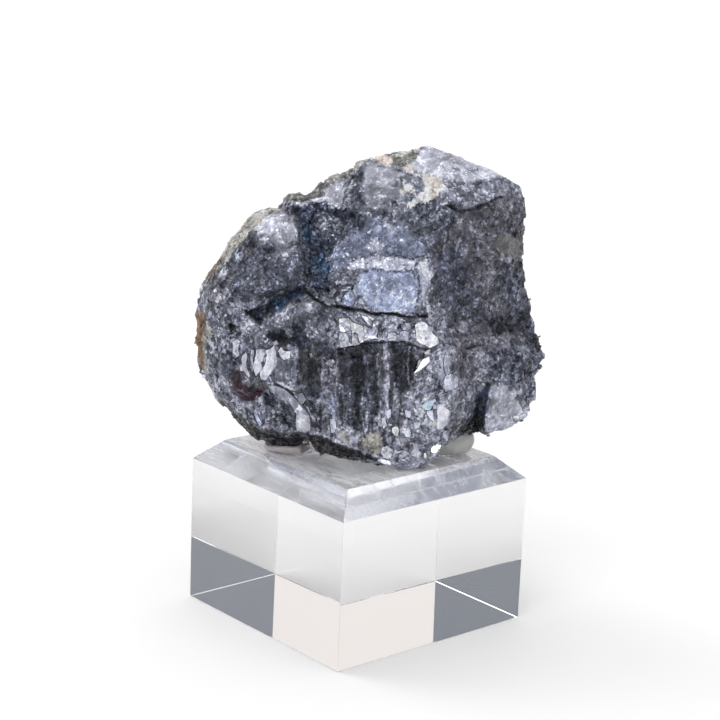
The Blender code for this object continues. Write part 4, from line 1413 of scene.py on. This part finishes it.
# Mounting putty, an oily rubber kneaded by hand, which gives a soft satin lump with finger dents;
# and a clear adhesive pad, squeezed flat, which gives a wet pinkish gleam.
puttySkin = {
    "skin": 0.14,           # mm
    "dentMm": 1.4,
    "ior": 1.5,
}
putties = {
    "putty_right": dict(slot="grey_putty", tone="e0e0db", roughness=0.4, clear=0.35, dent=0.12),
    "putty_left": dict(slot="clear_adhesive", tone="f4e9e9", roughness=0.12, clear=0.5, dent=0.06),
}


def puttyFinish(name, look):
    made, tree, shader = newMaterial(name + "_finish")
    shader.inputs["Transmission Weight"].default_value = look["clear"]
    shader.inputs["IOR"].default_value = puttySkin["ior"]
    place = addNode(tree, "TexCoord")
    noise = addNode(tree, "TexNoise", {"Vector": place.outputs["Object"], "Scale": 0.9 / mm, "Detail": 4.0})
    tone = linearColour(look["tone"])
    shades = addNode(tree, "Mix", {
        0: noise, 6: (*[part * 0.72 for part in tone], 1), 7: (*tone, 1)}, data_type="RGBA")
    bump = addNode(tree, "Bump", {"Height": noise, "Strength": 0.4, "Distance": 0.15 * mm})
    haze = addNode(tree, "MapRange", {
        "Value": noise, "To Min": look["roughness"] * 0.7, "To Max": look["roughness"] * 1.3})
    tree.links.new(shades.outputs[2], shader.inputs["Base Color"])
    tree.links.new(haze.outputs[0], shader.inputs["Roughness"])
    tree.links.new(bump.outputs[0], shader.inputs["Normal"])
    return made


def makePutty(name, look):
    mesh = modified(weldedCopy(name), "REMESH", mode="VOXEL", voxel_size=puttySkin["skin"] * mm)
    mesh = modified(mesh, "SMOOTH", factor=0.5, iterations=4)
    points = meshPoints(mesh)
    dents = (softNoise(points, puttySkin["dentMm"], 70) - 0.6) * look["dent"]
    keepInside(mesh, points + meshNormals(mesh) * dents[:, None], name)
    mesh.shade_smooth()
    mesh.name = name + "_lump"
    newPiece(name + "_lump", mesh, puttyFinish(name, look), name)
    print(name, "pressed")


studio = {
    "mostBounces": 24,
    "blockBounces": 20,
    "floorRadius": 4.0,         # m
    "floorTone": "f6f6f6",
    "floorRoughness": 0.9,
    "floorBelow": 0.02,         # mm under the block's foot, so that the two faces never coincide
    "overhead": 1.1,            # brightness of the white above
    "behind": "fffaf6",         # what the block sees behind it, at its sides and in front
    "sides": "868b94",
    "front": "a2a4ab",
    # soft windows in the stone's axes: towards them, half their width in degrees, brightness
    "windows": [
        ((-0.35, -0.62, 0.70), 18, 2.4),
        ((0.80, -0.45, 0.42), 10, 2.0),
        ((-0.86, -0.35, 0.36), 10, 2.0),
        ((-0.66, 0.30, 0.68), 16, 3.4),
    ],
}


def makeFloor():
    made, _, shader = newMaterial("white_sweep")
    shader.inputs["Base Color"].default_value = (*linearColour(studio["floorTone"]), 1)
    shader.inputs["Roughness"].default_value = studio["floorRoughness"]
    bm = bmesh.new()
    bmesh.ops.create_circle(bm, cap_ends=True, segments=96, radius=studio["floorRadius"])
    mesh = bpy.data.meshes.new("floor")
    bm.to_mesh(mesh)
    bm.free()
    mesh.materials.append(made)
    floor = bpy.data.objects.new("floor", mesh)
    home.objects.link(floor)
    floor.location.z = -studio["floorBelow"] * mm


def makeWorld():
    world = bpy.data.worlds.new("studio")
    bpy.context.scene.world = world
    world.use_nodes = True
    tree = world.node_tree
    way = addNode(tree, "TexCoord")
    turned = addNode(tree, "VectorRotate", {
        "Vector": way.outputs["Generated"], "Angle": -broadTurn}, rotation_type="Z_AXIS")
    right, away, up = addNode(tree, "SeparateXYZ", {0: turned}).outputs
    aside = addNode(tree, "Math", {0: right}, operation="ABSOLUTE")
    front, behind, sides = [(*linearColour(studio[name]), 1) for name in ("front", "behind", "sides")]

    # each layer: what it goes by, from where to where it takes over, and its light
    layers = [
        (away, -0.4, 0.4, behind),
        (aside, 0.55, 0.8, sides),
        (up, 0.45, 0.75, (studio["overhead"],) * 3 + (1,)),
    ]
    for towards, half, strength in studio["windows"]:
        lookedAt = addNode(tree, "VectorMath", {
            0: turned, 1: Vector(towards).normalized()}, operation="DOT_PRODUCT").outputs["Value"]
        outer, inner = [math.cos(math.radians(half * edge)) for edge in (1.3, 0.8)]
        layers.append((lookedAt, outer, inner, (strength,) * 3 + (1,)))
    sky = front
    for value, low, high, light in layers:
        share = addNode(tree, "MapRange", {
            "Value": value, "From Min": low, "From Max": high}, interpolation_type="SMOOTHSTEP")
        sky = addNode(tree, "Mix", {0: share, 6: sky, 7: light}, data_type="RGBA").outputs[2]
    rays = addNode(tree, "LightPath")
    seen = addNode(tree, "Mix", {
        0: rays.outputs["Is Camera Ray"], 6: sky, 7: (1, 1, 1, 1)}, data_type="RGBA")
    tree.links.new(seen.outputs[2], tree.nodes["Background"].inputs["Color"])


def makeStudio():
    makeFloor()
    makeWorld()
    bpy.context.scene.view_settings.view_transform = "Standard"
    # light goes round inside the block many times before it leaves
    bpy.context.scene.cycles.max_bounces = studio["mostBounces"]
    bpy.context.scene.cycles.glossy_bounces = studio["blockBounces"]
    bpy.context.scene.cycles.transmission_bounces = studio["blockBounces"]
    print("studio set")


makeCamera()
makeStudio()
makeBlock()
for name, look in putties.items():
    makePutty(name, look)
makeStone()
